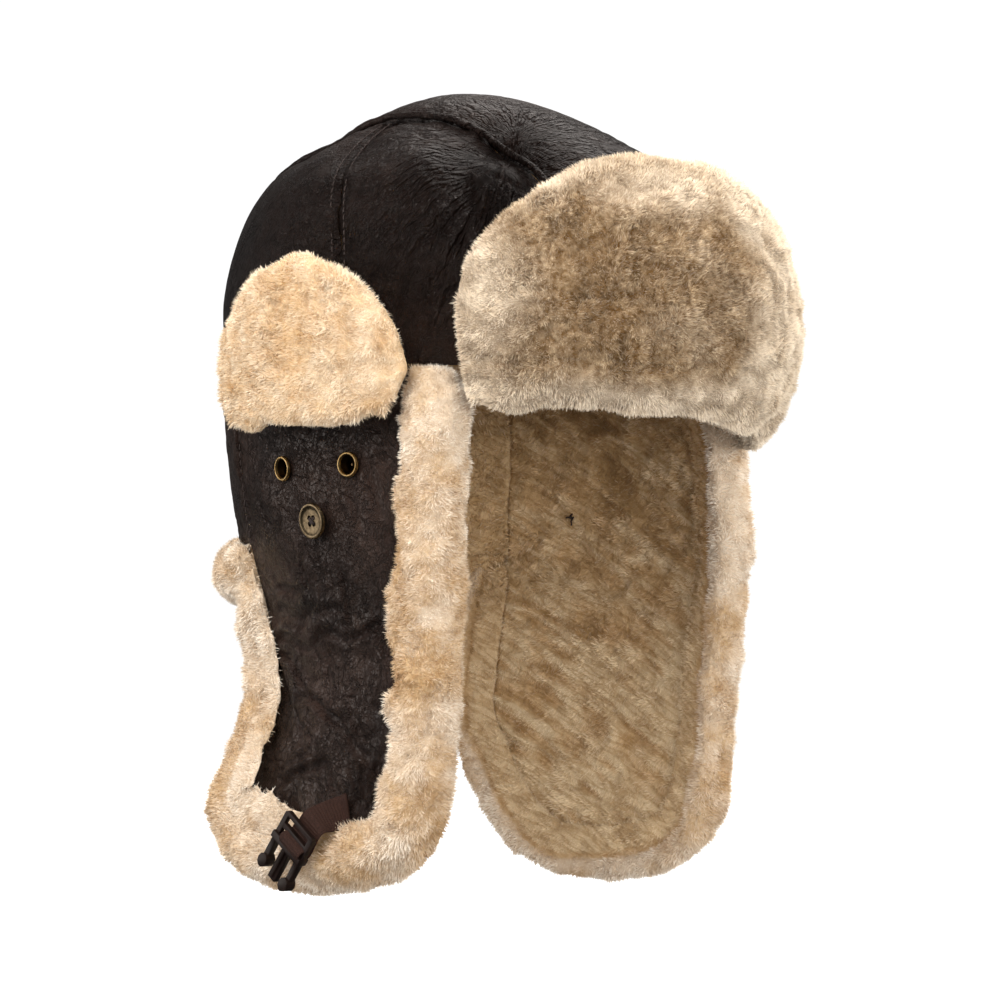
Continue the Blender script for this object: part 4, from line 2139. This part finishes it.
class HELMET_OT_stage(bpy.types.Operator):
    """Makes the floor, the lights and the camera"""

    bl_idname = "helmet.stage"
    bl_label = "Stage"

    def execute(self, context):
        self.floor()
        self.lights()
        self.camera()
        return {"FINISHED"}

    def floor(self):
        s = settings()
        radius, count = 9.0, 64
        rim = [(radius * math.cos(a), radius * math.sin(a), -s.floor_drop) for a in ring_angles(count)]
        vertices = [(0, 0, -s.floor_drop), *rim]
        faces = [(0, 1 + k, 1 + (k + 1) % count) for k in range(count)]
        mesh = bpy.data.meshes.new("floor")
        mesh.from_pydata(vertices, [], faces)
        m = Finish("pale_floor")
        colour = m.blend(m.noise(3.0, 2.0) * 0.02, tuple(s.floor_colour), (0.93, 0.93, 0.93))
        plain = m.surface(Base_Color=colour, Roughness=0.9, Specular_IOR_Level=0.0)
        strengths = FLOOR_SEEN, SKY_SOFT, FLOOR_MIRRORED
        seen, around, mirrored = (m.node("ShaderNodeEmission", None, colour, k) for k in strengths)
        seen = m.node("ShaderNodeAddShader", None, plain, seen)
        diffuse, camera = (
            m.node("ShaderNodeLightPath", out=f"Is {kind} Ray") for kind in ("Diffuse", "Camera")
        )
        other = m.node("ShaderNodeMixShader", None, diffuse, mirrored, around)
        mesh.materials.append(m.done(m.node("ShaderNodeMixShader", None, camera, other, seen)))
        obj = linked("floor", mesh)

    def lights(self):
        world = bpy.data.worlds.new("studio")
        bpy.context.scene.world = world
        world.use_nodes = True
        nodes, links = world.node_tree.nodes, world.node_tree.links
        nodes.clear()

        def sky(strength):
            made = nodes.new("ShaderNodeBackground")
            made.inputs[0].default_value = (1.0, 1.0, 1.0, 1)
            made.inputs[1].default_value = strength
            return made

        path = nodes.new("ShaderNodeLightPath")
        shown = sky(SKY_SOFT)
        for ray, strength in (("Is Glossy Ray", SKY_MIRRORED), ("Is Camera Ray", SKY_SEEN)):
            either = nodes.new("ShaderNodeMixShader")
            links.new(path.outputs[ray], either.inputs[0])
            links.new(shown.outputs[0], either.inputs[1])
            links.new(sky(strength).outputs[0], either.inputs[2])
            shown = either
        links.new(shown.outputs[0], nodes.new("ShaderNodeOutputWorld").inputs[0])
        back, right = self.ways()
        up = Vector((0, 0, 1))
        target = Vector((0, 0, -0.15))
        # shines: 0 lights the wool without a reflection, 1 does both, 2 is seen in reflections only
        rows = table(
            ("name", "out", "side", "rise", "size", "power", "shines"),
            ("key", 0.9, -0.7, 1.05, 1.1, 37.0, 0),
            ("fill", 1.3, 0.5, -0.3, 1.2, 38.0, 0),
            ("top", -0.25, 0.45, 1.35, 0.9, 34.0, 0),
            ("side", 0.25, 1.5, 0.35, 0.9, 13.0, 0),
            ("left", 0.1, -1.4, -0.2, 1.4, 11.0, 1),
            ("sheen", -0.8, 0.35, 1.25, 1.3, 8.0, 2),
            ("glint", 0.75, 0.1, 1.25, 0.3, 4.0, 2),
        )
        for row in rows:
            light = bpy.data.lights.new(row["name"], "AREA")
            light.shape = "SQUARE"
            light.size = row["size"]
            light.energy = row["power"]
            light.color = (1.0, 0.93, 0.88) if row["shines"] else (1.0, 0.985, 0.96)
            obj = linked(row["name"], light)
            obj.visible_camera = False
            obj.visible_glossy = row["shines"] > 0
            obj.visible_diffuse = row["shines"] < 2
            obj.location = target + back * row["out"] + right * row["side"] + up * row["rise"]
            obj.rotation_euler = (obj.location - target).to_track_quat("Z", "Y").to_euler()

    def ways(self):
        s = settings()
        a, e = s.camera_azimuth, s.camera_elevation
        back = Vector((math.sin(a) * math.cos(e), -math.cos(a) * math.cos(e), math.sin(e)))
        return back, Vector((math.cos(a), math.sin(a), 0))

    def camera(self):
        s = settings()
        back, right = self.ways()
        data = bpy.data.cameras.new("camera")
        obj = linked("camera", data)
        target = Vector((0, 0, VIEW_MIDDLE_Z)) + right * VIEW_SHIFT
        data.sensor_width = 36
        data.lens = 36 * s.camera_distance / VIEW_WIDTH
        data.clip_end = 100
        location = target + back * s.camera_distance
        up = right.cross(-back)
        obj.matrix_world = Matrix.Translation(location) @ Matrix((right, up, back)).transposed().to_4x4()
        bpy.context.scene.camera = obj
        view = bpy.context.scene.view_settings
        view.view_transform = "Standard"
        view.look = "None"
        view.exposure = 0.0


class HELMET_PT_panel(bpy.types.Panel):
    """Lists the helmet's pieces"""

    bl_label = "Flying helmet"
    bl_idname = "HELMET_PT_panel"
    bl_space_type = "VIEW_3D"
    bl_region_type = "UI"
    bl_category = "Helmet"

    def draw(self, context):
        layout = self.layout
        for name in HelmetSettings.__annotations__:
            layout.prop(context.scene.helmet, name)
        for operator in OPERATORS:
            layout.operator(operator.bl_idname)


OPERATORS = (
    HELMET_OT_crown,
    HELMET_OT_flaps,
    HELMET_OT_linings,
    HELMET_OT_trims,
    HELMET_OT_visor,
    HELMET_OT_covers,
    HELMET_OT_brass,
    HELMET_OT_straps,
    HELMET_OT_stitching,
    HELMET_OT_stage,
)
CLASSES = (HelmetSettings, *OPERATORS, HELMET_PT_panel)


def register():
    for cls in CLASSES:
        bpy.utils.register_class(cls)
    bpy.types.Scene.helmet = bpy.props.PointerProperty(type=HelmetSettings)


def unregister():
    del bpy.types.Scene.helmet
    for cls in reversed(CLASSES):
        bpy.utils.unregister_class(cls)


def main():
    register()
    bpy.ops.helmet.crown()
    bpy.ops.helmet.flaps()
    bpy.ops.helmet.linings()
    bpy.ops.helmet.trims()
    bpy.ops.helmet.visor()
    bpy.ops.helmet.covers()
    bpy.ops.helmet.brass()
    bpy.ops.helmet.straps()
    bpy.ops.helmet.stitching()
    bpy.ops.helmet.stage()
    for name in ("one_strand", "one_stitch"):
        bpy.data.objects.remove(bpy.data.objects[name])


if __name__ == "__main__":
    main()
